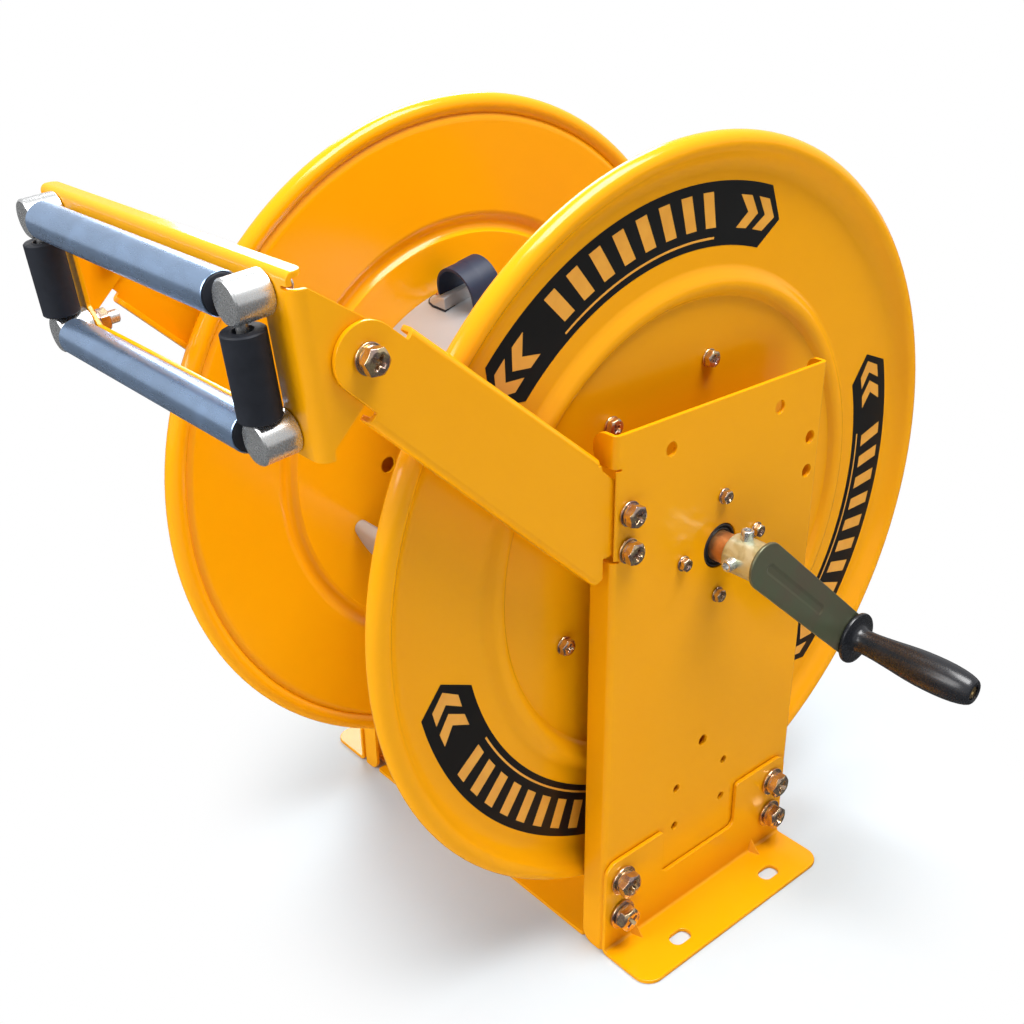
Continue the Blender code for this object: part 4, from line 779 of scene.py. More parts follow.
for word, side in SIDES:
    bm = put(blank(upright, foot_holes), SIDE_VIEW)
    fold(bm, edges_at(bm, z=on_floor + FOOT_BEND), (0, 0, -1), (1, 0, 0), FOOT_BEND)
    gather(bm, blank(foot_outline, cut_outs=slots), moved(z=on_floor))
    merge(bm)
    finish_sheet(f"{word}_foot_bracket", bm, REEL @ side_matrix(side) @ moved(foot_x), 0.0007)
    darts = bmesh.new()
    for y in (-0.068, 0.058):
        corners = [(dart_x, y, 0.0150), (dart_x + 0.0130, y, 0.0015)]
        corners += [(dart_x, y + half_width, 0.0005) for half_width in (-0.0055, 0.0055)]
        dart = hull_piece(corners)
        ridge = [e for e in dart.edges if all(abs(vert.co.y - y) < NEAR for vert in e.verts)]
        round_off(dart, ridge, 0.0012, 4, "EDGES")
        gather(darts, dart, side_matrix(side))
    add_piece(
        f"{word}_foot_darts", darts, powder_coat, "frame", "yellow_powder_coat", rounding=0.0003
    )

# %% [markdown]
# ## Base plate
#
# One sheet joins the two pedestals at the floor. Its ends turn up inside them, so the foot bolts
# hold bracket, pedestal and base plate together.

# %% Base plate
shoulder, tongue, half_width = 0.1225, 0.086, 0.096
end_flat = ARM_FACE - SHEET / 2 - FOOT_BEND
half = [
    (shoulder, -half_width, 0.002),
    (shoulder, -tongue),
    (end_flat, -tongue),
    (end_flat, tongue),
    (shoulder, tongue),
    (shoulder, half_width, 0.002),
]
bm = blank(half + mirrored(half))
for side in (-1, 1):
    edges = edges_at(bm, x=side * end_flat)
    fold(bm, edges, (side, 0, 0), (0, 0, 1), FOOT_BEND, flange=0.0665, corner=0.009)
finish_sheet("base_plate", bm, moved(z=SHEET / 2))

# %% [markdown]
# ## Bolts
#
# The heads are the first thing the eye finds on this machine, so they are built with care: a
# hexagon whose corners are cut by a cone, a cross recess, a split spring washer and a flat
# washer. The cone cut falls out of one rule: each point of the hexagon's rim drops by its
# distance beyond the face's circle.

# %% Hexagon, recess and washers
# Shares of half the width across flats, then of the recess's reach.
CUT_FROM, CUT_SLOPE, FACE_RADIUS = 0.87, 0.70, 0.84
SLOT_WIDTH, SLOT_DEPTH, SLOT_FLOOR = 0.27, 0.85, 0.6


def hexagon(bm, height, flats, chamfered=True):
    """A hexagonal ring of edges with 48 points at a height; returns its points."""
    points = ring(bm, 1, moved(z=height))
    for vert in points:
        angle = math.atan2(vert.co.y, vert.co.x)
        within = (angle + math.pi / 6) % (math.pi / 3) - math.pi / 6
        radius = flats / 2 / math.cos(within)
        drop = max(0.0, radius - flats / 2 * CUT_FROM) * CUT_SLOPE if chamfered else 0.0
        vert.co = Vector((radius * math.cos(angle), radius * math.sin(angle), height - drop))
    return points


def hex_block(flats, height, recess=0.0, hole=0.0):
    """A bolt head or nut standing on z = 0, with a cross recess or a thread hole in its top."""
    bm = bmesh.new()
    top = moved(z=height)
    low = hexagon(bm, 0.0, flats, chamfered=False)
    cap(bm, low)
    high = hexagon(bm, height, flats)
    bridge(bm, low, high)
    face = ring(bm, flats / 2 * FACE_RADIUS, top)
    bridge(bm, high, face)
    if recess:
        slot = recess * SLOT_WIDTH
        corners = [Vector((slot, slot)), Vector((recess, slot)), Vector((recess, -slot))]
        turns = [Matrix.Rotation(-math.pi / 2 * quarter, 2) for quarter in range(4)]
        rim, before = loop_edges(face), set(bm.verts)
        gather(bm, drawn_loop([tuple(turn @ point) for turn in turns for point in corners]), top)
        mouth = loop_edges([vert for vert in bm.verts if vert not in before])
        bmesh.ops.triangle_fill(bm, use_beauty=True, edges=rim + mouth, normal=(0, 0, 1))
        sunk, _ = grow(bm, mouth, (0, 0, -recess * SLOT_DEPTH))
        bmesh.ops.scale(bm, vec=(SLOT_FLOOR, SLOT_FLOOR, 1), verts=sunk)
        cap(bm, sunk)
    else:
        bore = ring(bm, hole, top)
        bridge(bm, face, bore)
        cap(bm, bore)
    return bm


def flat_washer(inner, outer, height):
    edge = min(0.0003, height / 4)
    profile = [(inner, 0), (outer - edge, 0), (outer, edge)]
    profile += [(outer, height - edge), (outer - edge, height), (inner, height)]
    return turned(profile, 40, closed=True)


def spring_washer(inner, outer, height):
    """A split ring whose ends stand a little apart."""
    steps = 34
    bm = bmesh.new()
    corners = [(inner, 0, 0), (outer, 0, 0), (outer, 0, height), (inner, 0, height)]
    section = bm.faces.new([bm.verts.new(corner) for corner in corners])
    geometry = [section, *section.edges, *section.verts]
    lift = (0, 0, height * 0.25 / steps)
    spin(bm, geometry, (0, 0, 0), (0, 0, 1), 350, steps, dvec=lift)
    return bm


# Shank radius, across flats, head height, recess, flat washer radius and height, and spring
# washer height, in millimetres.
SIZES = {
    "M5": (2.5, 8, 3.8, 2.5, 5.2, 1, 0),
    "M6": (3, 10, 4.5, 3.1, 6, 1.2, 0),
    "M8": (4, 13, 5.3, 4.1, 8, 1.6, 1.8),
    "M10": (5, 16, 6.4, 5.1, 10.8, 2, 2.2),
}
M8_NUT = {"flats": 0.013, "height": 0.0065, "hole": 0.004}
THREAD_PAST_NUT, THREAD_POINT = 0.0022, 0.0006
BOLT_ROUND, SCREW_ROUND = 0.00018, 0.00015
STEEL_SLOT = "yellow_passivated_steel"


def bolt(size, grip, nut=True, roll=0.0):
    """Head and washers above z = 0, shank and nut below it."""
    shank, flats, head, recess, washer, washer_height, spring = mm(SIZES[size])[0]
    bm = bmesh.new()
    seat = GAP
    gather(bm, flat_washer(shank + GAP, washer, washer_height), moved(z=seat))
    seat += washer_height
    if spring:
        gather(bm, spring_washer(shank + GAP, flats * 0.53, spring), moved(z=seat))
        seat += spring
    gather(bm, hex_block(flats, head, recess=recess), moved(z=seat) @ rotated(roll))
    tail = -grip - (flats / 2 + THREAD_PAST_NUT if nut else 0)
    shaft = [(0, seat), (shank, seat), (shank, tail + THREAD_POINT)]
    gather(bm, turned(shaft + [(shank - THREAD_POINT, tail), (0, tail)], 24))
    if nut:
        under = moved(z=-grip - GAP) @ rotated(180, "X")
        gather(bm, hex_block(flats, flats / 2, hole=shank), under)
    return bm


# %% [markdown]
# ## Frame bolts
#
# Four bolts hold each foot, two hold each arm and one carries each side of the guide. No two
# heads were tightened to the same angle, so each gets its own turn.

# %% Place the frame's bolts
heads = 0
foot_face = PEDESTAL_FACE + GAP + SHEET
levels = ("lower", "upper")
for word, side in SIDES:
    for end, y in zip(("front", "rear"), FOOT_BOLT_Y):
        for level, z in zip(levels, FOOT_BOLT_Z):
            heads += 1
            bm = bolt("M10", grip=0.0099, roll=37 * heads)
            name, at = f"{word}_{end}_{level}_foot_bolt", on_side(side, foot_face, y, z)
            finish_node(name, bm, passivated, at, rounding=BOLT_ROUND)
    for level, z in zip(levels, ARM_BOLT_Z):
        heads += 1
        bm = bolt("M8", grip=0.0063, roll=52 * heads)
        at = on_side(side, PEDESTAL_FACE, ARM_BOLT_Y, z)
        finish_node(f"{word}_{level}_arm_bolt", bm, passivated, at, rounding=BOLT_ROUND)
    heads += 1
    bm = bolt("M8", grip=0.0063, roll=21 * heads)
    at = on_side(side, ARM_FACE, *PIVOT)
    finish_node(f"{word}_guide_pivot_bolt", bm, passivated, at, rounding=FINE_ROUND)
print("frame bolts:", heads)

# %% [markdown]
# ## Bearings
#
# Behind each pedestal sits a flanged polymer bearing. Outside, only its dark rings and four M5
# screws show, but from the back the whole flange does.

# %% Bearings and their screws
plate = PEDESTAL_FACE - SHEET - GAP
bearing_line = mm((10.3, -6.7), (19, -6.7), (22, -3.7), (22, 0), (42, 0), (43, 1))
bearing_line = lifted(bearing_line, plate - 0.005) + [(0.0430, plate), (0.0147, plate)]
rings = mm((14.7, -1), (13.5, -0.2), (12.5, -2.4), (11.5, -0.4), (10.3, -1.2))
bearing_line += lifted(rings, PEDESTAL_FACE)
for word, side in SIDES:
    bm = turned(bearing_line, 64, closed=True)
    finish_node(f"{word}_bearing", bm, polymer, on_side(side, 0), rounding=FINE_ROUND)
    screws = bmesh.new()
    for index in range(4):
        screw = bolt("M5", grip=0.0058, nut=False, roll=25 * index)
        spot = on_circle(BEARING_SCREW_RADIUS, 90 * index)
        gather(screws, screw, on_side(side, PEDESTAL_FACE, *spot))
    name = f"{word}_bearing_screws"
    add_piece(name, screws, passivated, "frame", STEEL_SLOT, rounding=SCREW_ROUND)

# %% [markdown]
# ## Discs
#
# Each disc is pressed from 2 mm sheet: a flat middle, a raised ring, and an edge rolled outward
# into a tube. The sheet flows smoothly into the roll on the outer side, and its cut end closes
# against the inner side in a sharp crease. The ring and the roll are spun. The flat middle is
# filled as a blank, because only a blank can have holes.

# %% Disc section
SEAM = 0.1400
inner_line = mm(
    (140, 0), (153.5, 0), (154.5, 0.2), (156.2, 3), (158, 4.3), (160.5, 4.8), (163, 4.2),
    (165.5, 2.2), (168, 0.6), (170.5, 0), (231, 0), (233, 0.2), (234.5, 0.7), (236.6, 2.2),
)
roll = arc((0.2432, 0.1132), 0.0068, 205, 500, 34)
outer_line = mm(
    (225.5, 0), (172.5, 0), (170, 0.4), (167.5, 1.8), (165, 3.8), (162.5, 4.8), (159.5, 5),
    (156.5, 4.2), (154.5, 2.6), (153, 0.3), (152.2, 0), (140, 0),
)
disc_line = lifted(inner_line, DISC_INNER) + roll
easing = (roll[-1], (0.2350, 0.1141), (0.2318, DISC_OUTER), (0.2255, DISC_OUTER))
disc_line += [tuple(point) for point in interpolate_bezier(*easing, 13)[1:-1]]
disc_line += lifted(outer_line, DISC_OUTER)
print("rim reaches", round(max(point[0] for point in roll) * 1000, 2), "mm")

# %% Discs
AROUND = 144
disc_holes = [(0, 0, 0.0103), (*on_circle(0.078, 182), 0.00625)]
disc_holes += [(*on_circle(DISC_BOLT_RADIUS, turn), M6_HOLE) for turn in DISC_BOLT_ANGLES]
disc_holes += [(*on_circle(FLANGE_SCREW_RADIUS, turn), M6_HOLE) for turn in FLANGE_SCREW_ANGLES]


def disc_mesh():
    """A disc about Z, its outer side up."""
    bm = turned(disc_line, AROUND)
    for depth in (DISC_INNER, DISC_OUTER):
        middle = bmesh.new()
        ring(middle, SEAM, steps=AROUND)
        for y, z, radius in disc_holes:
            ring(middle, radius, moved(y, z), 32)
        bmesh.ops.triangle_fill(middle, use_beauty=True, edges=middle.edges[:], normal=(0, 0, 1))
        gather(bm, middle, moved(z=depth))
    merge(bm, 2e-6)
    for y, z, radius in disc_holes:
        rims = free_edges(bm, lambda co: abs(math.hypot(co.x - y, co.y - z) - radius) < 1e-5)
        bmesh.ops.bridge_loops(bm, edges=rims)
    return bm


for word, side in SIDES:
    bm = disc_mesh()
    print(word, "disc open edges:", sum(not edge.is_manifold for edge in bm.edges))
    finish_node(f"{word}_disc", bm, powder_coat, REEL @ stood_up(side))

# %% [markdown]
# ## Labels
#
# Printed film is thin but real: it has a cut edge and its own gloss. Each disc carries three
# black bands with pointed ends. They are printed with plain direction arrows and a row of
# slanted bars, which name nothing. Film and print lie just proud of the coating and of each
# other, so no light leaks under them.


# %% Bands on the discs
def polar_face(bm, corners, middle):
    """A flat shape about Z whose corners are a radius and degrees from its middle."""
    spots = [on_circle(radius, middle + degrees) for radius, degrees in corners]
    bm.faces.new([bm.verts.new((x, y, 0)) for x, y in spots])


def curved(radius, first, last, steps):
    return [(radius, first + (last - first) * step / steps) for step in range(steps + 1)]


INNER_EDGE, OUTER_EDGE, TIP_RADIUS = 0.1830, 0.2208, 0.2030
TIP, END = 36.6, 32.4  # where a band's points and its curved edges end, in degrees
arrow = [(0.0, 0.0), (-0.0098, 2.5), (-0.0098, 5.3), (0.0, 2.7), (0.0098, 5.3), (0.0098, 2.5)]
slanted_bar = ((0.1940, -1.9), (0.1940, 0.7), (0.2150, 1.9), (0.2150, -0.5))
bar_places = [-17.5 + 5.0 * index for index in range(8)]
underline = curved(0.1886, -19.2, 19.2, 24) + curved(0.1872, 19.2, -19.2, 24)
outline = curved(OUTER_EDGE, -END, END, 48) + [(TIP_RADIUS, TIP)]
outline += curved(INNER_EDGE, END, -END, 48) + [(TIP_RADIUS, -TIP)]
for word, side in SIDES:
    bands, marks = bmesh.new(), bmesh.new()
    for middle in (105.3, 225.3, 345.3):
        polar_face(bands, outline, middle)
        for end in (-1, 1):
            for start in (1.7, 6.4):
                shape = [(TIP_RADIUS + end * r, end * (TIP - start - d)) for r, d in arrow]
                polar_face(marks, shape, middle)
        for place in bar_places:
            polar_face(marks, [(radius, place + d) for radius, d in slanted_bar], middle)
        polar_face(marks, underline, middle)
    for sheet, name, look, height, thickness in (
        (bands, "label_bands", label_film, 0.00012, 0.0001),
        (marks, "label_marks", label_print, 0.00022, 0.00006),
    ):
        sheet.normal_update()
        bmesh.ops.triangulate(sheet, faces=sheet.faces[:])
        at = REEL @ stood_up(side, DISC_OUTER + height)
        add_piece(f"{word}_{name}", sheet, look, "reel", "black_plastic", at, sheet=thickness)

# %% [markdown]
# ## Drum
#
# Three curved plates make the drum, with gaps between them. Each plate's two edges are rolled
# in to a tube, which is what the disc bolts screw into. The section is one line: a roll, the
# curve and the other roll, pushed along the axle.

# %% Drum plates
PLATE_RADIUS, HEM_RADIUS = 0.119, 0.0046
plate_end = 90 - PLATE_SPREAD
hem_centre = on_circle(PLATE_RADIUS - HEM_RADIUS, plate_end)
half = arc(hem_centre, HEM_RADIUS, plate_end - 330, plate_end, 24)
half += arc((0, 0), PLATE_RADIUS, 90 - PLATE_SPREAD * 0.95, 90 - PLATE_SPREAD * 0.05, 18)
plate_line = half + [(0, PLATE_RADIUS)] + mirrored(half)
drum_end = DISC_INNER - GAP
for word, centre in zip(("top", "front", "rear"), PLATE_CENTRES):
    bm = bmesh.new()
    grow(bm, draw_line(bm, [(-drum_end, y, z) for y, z in plate_line]), (2 * drum_end, 0, 0))
    name, at = f"{word}_drum_plate", REEL @ rotated(centre - 90, "X")
    finish_node(name, bm, galvanised, at, sheet=0.002, rounding=0.0004, segments=1)

# %% [markdown]
# ## Bolts through the discs
#
# Six bolts a side screw into the plates' rolled edges. On the left they belong to the plates in
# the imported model, so here they only ride along.

# %% Disc bolts
for word, side in SIDES:
    for index, degrees in enumerate(DISC_BOLT_ANGLES):
        bm = bolt("M6", grip=0.0163, nut=False, roll=31 * index + 11 * side)
        put(bm, on_side(side, DISC_OUTER, *on_circle(DISC_BOLT_RADIUS, degrees)))
        name = f"{word}_disc_bolt_{index + 1}"
        if side > 0:
            finish_node(name, bm, passivated, rounding=BOLT_ROUND)
        else:
            add_piece(f"{name}_piece", bm, passivated, "reel", STEEL_SLOT, rounding=BOLT_ROUND)

# %% [markdown]
# ## Axle
#
# The axle is a shaft with a stout tube and two flanges welded on. Between the pedestal and the
# crank's hub a short length shows, coloured a warm copper brown.

# %% Axle
hub_start = PEDESTAL_FACE + 0.0110
hub_end = hub_start + 0.0242
crank_face = hub_end + GAP
shaft_end, inlet_end, bore_end = crank_face - 0.0006, -PEDESTAL_FACE - 0.024, -0.0600
flange_line = mm(
    (10, 6), (31.2, 6), (32, 5.2), (32, 0.8), (31.2, 0), (20, 0), (18.2, -0.8), (17, -3)
)
axle_line = [(0, shaft_end), (0.0100, shaft_end)]
axle_line += both_ends(lifted(flange_line, DISC_INNER - GAP - 0.006))
axle_line += [(0.0100, inlet_end), (0.0060, inlet_end), (0.0060, bore_end), (0, bore_end)]
along_x = on_side(1, 0)
finish_node("axle", turned(axle_line), bright_zinc, along_x)
neck = lifted(mm((10.1, -4), (10.15, 11.8), (9.8, 11.8)), PEDESTAL_FACE)
# The short neck is coloured a warm copper brown.
add_piece("copper_brown_axle_neck", turned(neck), copper, "reel", "bright_zinc", along_x)
studs = bmesh.new()
for side in (-1, 1):
    for degrees in FLANGE_SCREW_ANGLES:
        screw = bolt("M6", grip=0.0053, nut=False, roll=degrees)
        gather(studs, screw, on_side(side, DISC_OUTER, *on_circle(FLANGE_SCREW_RADIUS, degrees)))
add_piece("axle_flange_screws", studs, passivated, "reel", STEEL_SLOT, rounding=SCREW_ROUND)

# %% [markdown]
# ## Crank
#
# The hub is a turned sleeve with two set screws. The arm is a thin flat bar with a groove
# pressed into it, welded on at the hub from behind. Its olive passivation is nearly matt, and its
# sheared edge is rounded so that it catches the light.

# %% Hub and set screws
hub_line = lifted(mm((10.3, 0), (11.8, 0), (12.8, 1)), hub_start)
hub_line += lifted(mm((12.8, -1.2), (13.2, -0.6), (13.2, 0), (10.3, 0)), hub_end)
hub = turned(hub_line, 64, closed=True)
finish_node("crank_hub", hub, hub_plating, along_x, rounding=FINE_ROUND)
screw_line = mm((0, 0), (3.6, 0), (4, 0.5), (4, 7.9), (3.4, 8.5), (2.3, 8.5))
for word, direction in (("top", (0, 0, 1)), ("front", (0, -1, 0))):
    screw = turned(screw_line, 36)
    low, _ = grow(screw, edges_at(screw, z=0.0085), (0, 0, -0.0030))
    cap(screw, low)
    start = Vector((hub_start + 0.0096, 0, 0)) + 0.0103 * Vector(direction)
    at = REEL @ facing(start, direction)
    finish_node(f"crank_{word}_set_screw", screw, bright_zinc, at, rounding=0.0001)

# %% Arm with its groove
ARM_LENGTH, ARM_ANGLE, ARM_THICKNESS = 0.1415, -41.5, 0.0025
arm_outline = [(ARM_LENGTH + x, y) for x, y in arc((0, 0), 0.0150, -90, 90, 20)]
arm_outline += arc((0, 0), 0.0156, 92, 268, 24)
groove = arc((0.083, 0), 0.0042, -90, 90, 8) + arc((0.004, 0), 0.0042, 90, 270, 8)
bm = blank(arm_outline, [(ARM_LENGTH, 0, PIVOT_HOLE)], [groove])
groove_rim = free_edges(bm, lambda co: -0.001 < co.x < 0.088 and abs(co.y) < 0.0043)
groove_floor = bmesh.ops.contextual_create(bm, geom=groove_rim)["faces"]
bmesh.ops.recalc_face_normals(bm, faces=bm.faces)
upward = 1 if groove_floor[0].normal.z > 0 else -1
for width, depth in ((0.0004, 0.0001), (0.0012, 0.0006), (0.0010, 0.0002)):
    bmesh.ops.inset_region(
        bm, faces=groove_floor, thickness=width, depth=-upward * depth, use_even_offset=True
    )
put(bm, REEL @ rotated(ARM_ANGLE, "X") @ stood_up(1, crank_face + ARM_THICKNESS / 2))
finish_node("crank_arm", bm, olive, sheet=ARM_THICKNESS, rounding=0.0008, segments=3, turn=40)

# %% [markdown]
# ## Grip
#
# A turned plastic grip with a thin collar. Its screw goes in from the end, so the tip has a
# small recess with a brass head in it.

# %% Grip and its bolt
grip_at = on_side(1, crank_face + 0.0028, *on_circle(ARM_LENGTH, ARM_ANGLE))
collar = mm(
    (4.4, 0), (17.6, 0), (18.3, 0.3), (18.5, 1), (18.5, 2), (18.2, 2.7), (17.4, 3.1),
    (13.5, 3.6), (10.8, 4.4), (9.6, 5.6), (9, 7.4), (8.7, 9.8),
)
handle = mm(
    (8.7, 13), (8.9, 17), (9.3, 22), (9.8, 27), (10.4, 33), (11.1, 39), (11.8, 46),
    (12.3, 53), (12.5, 60), (12.5, 67), (12.2, 74), (11.6, 80), (10.7, 85), (9.7, 88.5),
)
tip = mm(
    (8.6, 90.7), (7.8, 91.4), (7, 91.7), (5.8, 91.7), (5.3, 91.2), (5.1, 87.5), (4.4, 87.5)
)
finish_node("grip", turned(collar + handle + tip, 64, closed=True), gloss_plastic, grip_at)
head = mm(
    (0, 87.8), (4, 87.8), (4.7, 88.2), (4.7, 89.8), (4.2, 90.5), (1.6, 90.5), (0.9, 88.8), (0, 88.6)
)
bm = turned(head, 32)
gather(bm, turned(mm((0, 87.8), (4, 87.8), (4, -10.7), (0, -10.7)), 24))
gather(bm, hex_block(**M8_NUT), moved(z=-0.0031) @ rotated(180, "X"))
finish_node("grip_bolt", bm, brass, grip_at, rounding=0.0001)

# %% [markdown]
# ## Guide arms
#
# Each arm slips a tongue through the gap in its pedestal and is bolted from outside. Its top and
# bottom edges are folded in, but not round the nose, where the guide has to swing.

# %% Guide arms
top_out, low_out = Vector((0.639371, 0.768899, 0)), Vector((-0.690705, -0.723137, 0))
TOP_LINE, LOW_LINE = 0.000913, 0.067456  # the edges' distances from the reel's axis
inset, nose_inset = SHEET / 2 + BEND, 0.0060


def set_in(point, outward, depth=inset):
    return (point[0] - outward.x * depth, point[1] - outward.y * depth)


top_tip, low_tip = (-0.227305, 0.190200), (-0.254706, 0.150000)
tongue_line = mm(
    (-101, 11, 1.5), (-101, 24.8), (-92.2, 24.8), (-88.2, 12.5), (-76.7, 12.5, 3),
    (-70.7, 18.5, 3), (-70.7, 62, 3), (-76.7, 68, 3), (-95, 73.7), (-103, 81.2, 0.8),
    (-104, 85, 1.2),
)
arm_outline = [
    *tongue_line,
    set_in((-0.103708, 0.087425), top_out),
    set_in(top_tip, top_out),
    set_in(top_tip, top_out, nose_inset),
    *arc(PIVOT, 0.0175, 50.26, 226.31, 28),
    set_in(low_tip, low_out, nose_inset),
    set_in(low_tip, low_out),
    set_in((-0.1060, 0.007964), low_out),
]
arm_holes = [(ARM_BOLT_Y, z, M8_HOLE) for z in ARM_BOLT_Z] + [(*PIVOT, PIVOT_HOLE)]
for word, side in SIDES:
    bm = blank(arm_outline, arm_holes)
    for outward, line in ((top_out, TOP_LINE), (low_out, LOW_LINE)):
        edges = free_edges(
            bm, lambda co: abs(co.z) < 1e-7 and abs(outward.dot(co) - line + inset) < 2e-5
        )
        fold(bm, edges, outward, (0, 0, -1), BEND, flange=0.0080, corner=0.0045, steps=6)
    finish_sheet(f"{word}_guide_arm", bm, REEL @ stood_up(side, ARM_FACE - SHEET / 2))

# %% [markdown]
# ## Guide bracket
#
# One blank makes the roller plate: a window for the hose, a lip along the top, and wide bends
# into the two ears. Each ear is a blank of its own, joined to the end of its bend.

# %% Guide bracket
GUIDE_FRONT, RISE, POST_X, POST_Z = 0.0304, 0.0013, 0.1107, 0.0338
plate_edge, plate_top, guide_bend = 0.1267, 0.0428, 0.0065
half = [(plate_edge, -0.0442), (plate_edge, -0.0386), (plate_edge, 0.0390)]
half += [(0.1260, 0.0390), (0.1260, 0.0405), (0.1312, 0.0405), (0.1312, plate_top)]
corners = [(0.098, -0.032), (0.108, -0.022), (0.108, 0.022), (0.098, 0.032)]
window = [(x, RISE + z, 0.002) for x, z in corners + mirrored(corners)]
stud_holes = [(x, RISE + z, M8_HOLE) for x in (-POST_X, POST_X) for z in (-POST_Z, POST_Z)]
bm = blank(half + mirrored(half), stud_holes, [window])
for side in (-1, 1):
    edges = edges_at(bm, x=side * plate_edge)
    fold(bm, edges, (side, 0, 0), (0, 0, -1), guide_bend, steps=12)
edges = edges_at(bm, y=plate_top, z=0)
fold(bm, edges, (0, 1, 0), (0, 0, -1), BEND, flange=0.0060, corner=0.0055)
put(bm, moved(y=SHEET / 2 - GUIDE_FRONT) @ FRONT_VIEW)
ear_outline = [(-0.0224, 0.0390), (0.010132, 0.012383), *arc((0, 0), 0.016, 50.7, -51.1, 20)]
ear_outline += [(0.010040, -0.012458), (-0.0224, -0.0386)]
for side in (-1, 1):
    gather(bm, blank(ear_outline, [(0, 0, PIVOT_HOLE)]), stood_up(side, EAR_FACE - SHEET / 2))
merge(bm, 2e-6)
finish_sheet("guide_bracket", bm, GUIDE)

# %% [markdown]
# ## Posts
#
# Four round posts hold the roller pins. Each is turned from bar with a small chamfer, and a nut
# with a spring washer pulls it against the plate. The lower studs are a little longer.

# %% Posts and nuts
post_line = mm((0, 19.3), (2, 19.5), (10, 19.5), (11, 18.5), (11, 0.4), (10.6, 0), (4, 0))
for word, side in SIDES:
    for row, level in (("upper", 1), ("lower", -1)):
        place = (side * POST_X, -GUIDE_FRONT - GAP, RISE + level * POST_Z)
        at = GUIDE @ facing(place, (0, -1, 0))
        end = -0.0160 + 0.0023 * level
        stud = [(0.0040, end + THREAD_POINT), (0.0040 - THREAD_POINT, end), (0, end)]
        post = turned(post_line + stud, 64)
        finish_node(f"{word}_{row}_post", post, bright_zinc, at, rounding=SCREW_ROUND)
        nut = spring_washer(0.0043, 0.0069, 0.0016)
        gather(nut, hex_block(**M8_NUT), moved(z=0.0017))
        put(nut, at @ moved(z=-0.0036) @ rotated(180, "X") @ rotated(19 * side + 40 * level))
        name = f"{word}_{row}_post_nut"
        add_piece(name, nut, passivated, "guide", "bright_zinc", rounding=SCREW_ROUND)

# %% [markdown]
# ## Rollers
#
# A roller is a smooth sleeve over a dull core, with a wide mouth round its pin at each end. The
# long ones have a polished dark sleeve whose metallic blue colour is a painted reflection of blue
# sky. The short ones are matt all over.


# %% Rollers and pins
def roller_core(half, radius):
    mouth = [(0.0033, half - 0.005), (0.0047, half - 0.005), (0.0050, half - 0.0003)]
    edge = [(0.0053, half), (radius - 0.0007, half), (radius, half - 0.0007)]
    return turned(both_ends(mouth + edge), 64, closed=True)


def pin(half):
    return turned([(0, -half), (0.003, -half), (0.003, half), (0, half)], 32)


LONG_HALF, SHORT_HALF = 0.0982, 0.0213
sleeve_end = lifted(mm((9.6, -0.7), (10.1, -0.3), (10.6, -1)), LONG_HALF)
roller_y = -GUIDE_FRONT - 0.0137
for row, level in (("upper", 1), ("lower", -1)):
    at = GUIDE @ facing((0, roller_y, RISE + level * POST_Z), (1, 0, 0))
    sleeve, core = turned(both_ends(sleeve_end), 64, closed=True), roller_core(LONG_HALF, 0.0098)
    # The sleeve's metallic blue is a painted reflection of blue sky.
    finish_node(f"{row}_roller", sleeve, sleeve_painted_sky_reflection, at)
    add_piece(f"{row}_roller_core", core, matt_rubber, f"{row}_roller", "black_rubber", at)
    finish_node(f"{row}_roller_pin", pin(0.1152), bright_zinc, at)
for word, side in SIDES:
    at = GUIDE @ facing((side * POST_X, roller_y, RISE), (0, 0, 1))
    resting = at @ moved(z=-0.0012)
    finish_node(f"{word}_roller", roller_core(SHORT_HALF, 0.0106), matt_rubber, resting)
    finish_node(f"{word}_roller_pin", pin(0.0293), bright_zinc, at)

# %% [markdown]
# ## Hose clamp
#
# A black strap arches over the hose's first turn. One foot rests on the drum, the other on a
# small metal saddle that slopes away from an upright wall. The strap is a line pushed along the
# drum in a few steps, lower at the front, and the saddle is the hull of its corner points.

# %% Strap
STRAP_X, STRAP_Z, STRAP_RADIUS = -0.0750, 0.1288, 0.01885
STRAP_FRONT, STRAP_WIDTH = -0.0130, 0.0260
clamp_place = REEL @ rotated(10.8, "X")
arch = arc((STRAP_X, STRAP_Z), STRAP_RADIUS, 0, 180, 24)
arch = [(STRAP_X + STRAP_RADIUS, 0.1204), *arch, (STRAP_X - STRAP_RADIUS, 0.1245)]
bm = bmesh.new()
edges = draw_line(bm, [(x, STRAP_FRONT, z) for x, z in arch])
for length in (0.0120, 0.0015, 0.0015, 0.0110):
    _, edges = grow(bm, edges, (0, length, 0))
for vert in bm.verts:
    if vert.co.z > STRAP_Z:
        along = (vert.co.y - STRAP_FRONT) / STRAP_WIDTH
        dip = 0.0005 * math.exp(-(((vert.co.y + 0.0005) / 0.0012) ** 2))
        vert.co.z = STRAP_Z + (vert.co.z - STRAP_Z) * (0.95 + 0.05 * along) - dip
# The strap's blue tint is a painted reflection of sky on black rubber.
finish_node("clamp_band", bm, strap_rubber_painted_sky_tint, clamp_place, sheet=0.0023, rounding=0.0005)


# %% Saddle, the black strip at its foot, and its rivet
def on_drum(y, lift):
    return math.sqrt(0.120**2 - y * y) + lift


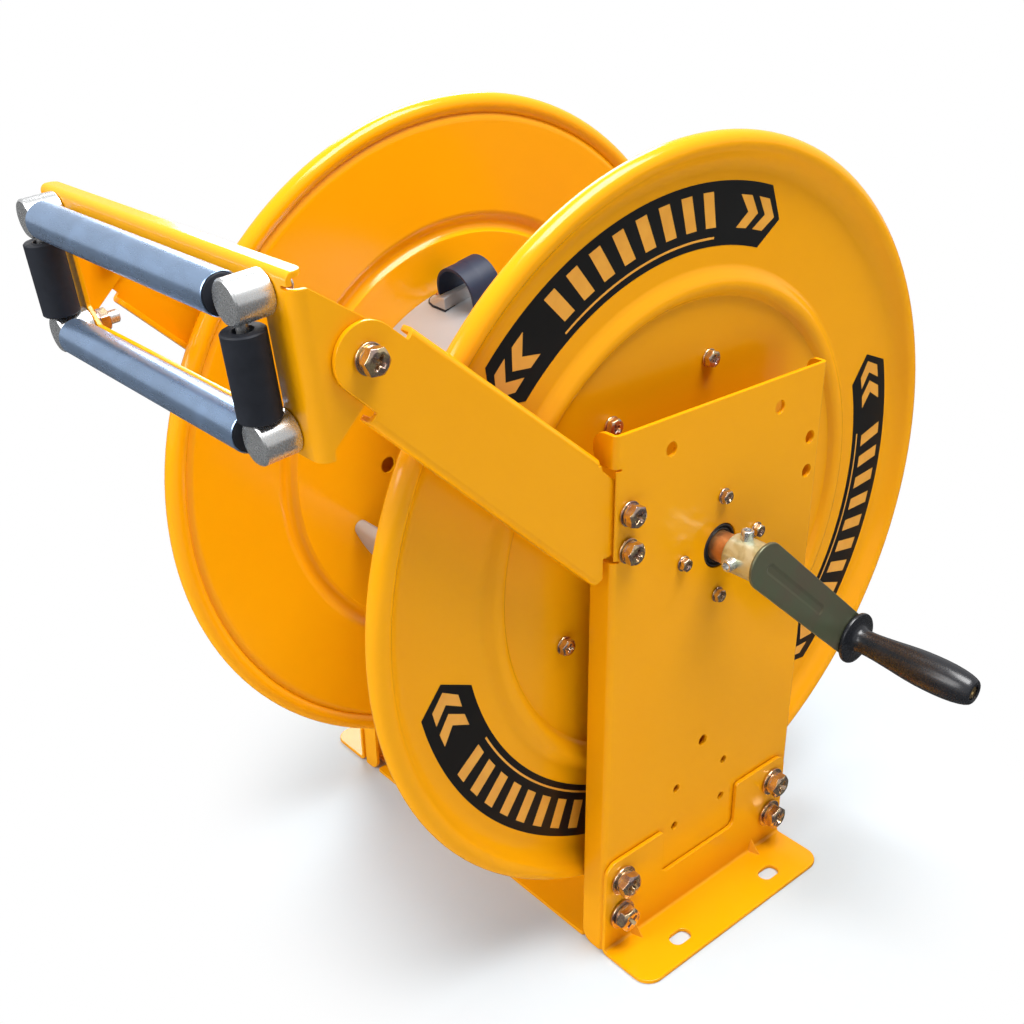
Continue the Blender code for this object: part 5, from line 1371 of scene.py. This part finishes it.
plan = mm(
    (-79, -20.7), (-79, 13), (-105, 13), (-105.4, -11), (-104, -15), (-100.5, -18), (-93.9, -20)
)
wall = mm((-79, -20, 127.5), (-79, 13, 129), (-80.5, -19.5, 127.8), (-80.5, 13, 129))
bm = hull_piece(wall + [(x, y, on_drum(y, 0.0010)) for x, y in plan])
finish_node("clamp_saddle", bm, galvanised, clamp_place, rounding=0.0005, turn=12)
# A thin black slab just under the saddle, a little wider than it, shows as a dark line round its foot.
plan_middle = -0.0905
wider = [(plan_middle + (x - plan_middle) * 1.035, y * 1.03) for x, y in plan]
bm = hull_piece([(x, y, on_drum(y, lift)) for x, y in wider for lift in (0.0001, 0.0010)])
add_piece("clamp_black_foot_strip", bm, matt_rubber, "reel", "black_rubber", clamp_place)
dome = turned(mm((2.1, 0), (2.1, 0.5), (1.7, 1), (0.9, 1.4), (0, 1.5)), 24)
rivet_place = clamp_place @ facing((-0.1000, -0.0095, 0.1222), (-0.3, 0, 0.95))
add_piece("clamp_rivet", dome, copper, "reel", "brass", rivet_place)

# %% [markdown]
# ## Hose connections
#
# Water comes in through a brass swivel on the axle's left end and leaves through an elbow inside
# the drum. The elbow is a ring pushed straight, spun round its corner and pushed straight again.

# %% Outlet elbow
riser_foot, riser_corner, corner_radius = 0.0173, 0.068, 0.020
bm = bmesh.new()
circle = ring(bm, 0.0085, moved(z=riser_foot), 40)
_, edges = grow(bm, loop_edges(circle), (0, 0, riser_corner - riser_foot))
centre = (0, -corner_radius, riser_corner)
bent = spin(bm, with_ends(edges), centre, (1, 0, 0), 90, 12)
grow(bm, edges_in(bent), (0, -0.016, 0))
riser_place = REEL @ rotated(-45, "X") @ moved(-0.0780)
finish_node("outlet_riser", bm, bright_zinc, riser_place, sheet=0.005, rounding=0.0006)
nut = hex_block(0.0262, 0.0100, hole=0.0111)
nut_place = riser_place @ facing((0, -0.0345, 0.088), (0, 1, 0))
add_piece("outlet_riser_nut", nut, brass, "reel", "bright_zinc", nut_place, rounding=0.0004)

# %% Inlet swivel
swivel_line = mm(
    (10.3, 0), (17, 0), (19, 2), (19, 8.5), (17.8, 9.5), (17.8, 12.5), (19, 13.5),
    (19, 38.5), (17, 42), (8, 42), (7, 41.2), (0, 41.2),
)
bm = put(turned(lifted(swivel_line, PEDESTAL_FACE + 0.0022), 64), on_side(-1, 0))
tail_line = [(6, 10), (14.5, 10), (14.5, 23.5), (11.9, 34.5)]
for turn_count in range(6):
    low = 35.2 + 1.9 * turn_count
    tail_line += [(11.9, low), (12.5, low + 0.7), (12.5, low + 1), (11.9, low + 1.7)]
tail_line += [(11.6, 47.4), (11, 48), (6, 48)]
outlet = REEL @ facing((-0.1723, 0, 0), (0, 0, -1))
gather(bm, turned(mm(*tail_line), 48, closed=True), outlet)
gather(bm, hex_block(0.0294, 0.0100, hole=0.0118), outlet @ moved(z=0.0240))
finish_node("inlet_swivel", bm, brass, rounding=0.0003)

# %% [markdown]
# ## Check the size and finish
# The finished model is meant to fill the imported model's box and no more, so the sizes of both
# boxes are printed side by side.

# %% Print the sizes of both boxes
finished_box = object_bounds()
boxes = {"packed": [list(corner) for corner in packed_box], "finished": [list(corner) for corner in finished_box]}
for label, (low, high) in boxes.items():
    print(label, [round(1000 * (b - a), 1) for a, b in zip(low, high)], "mm")
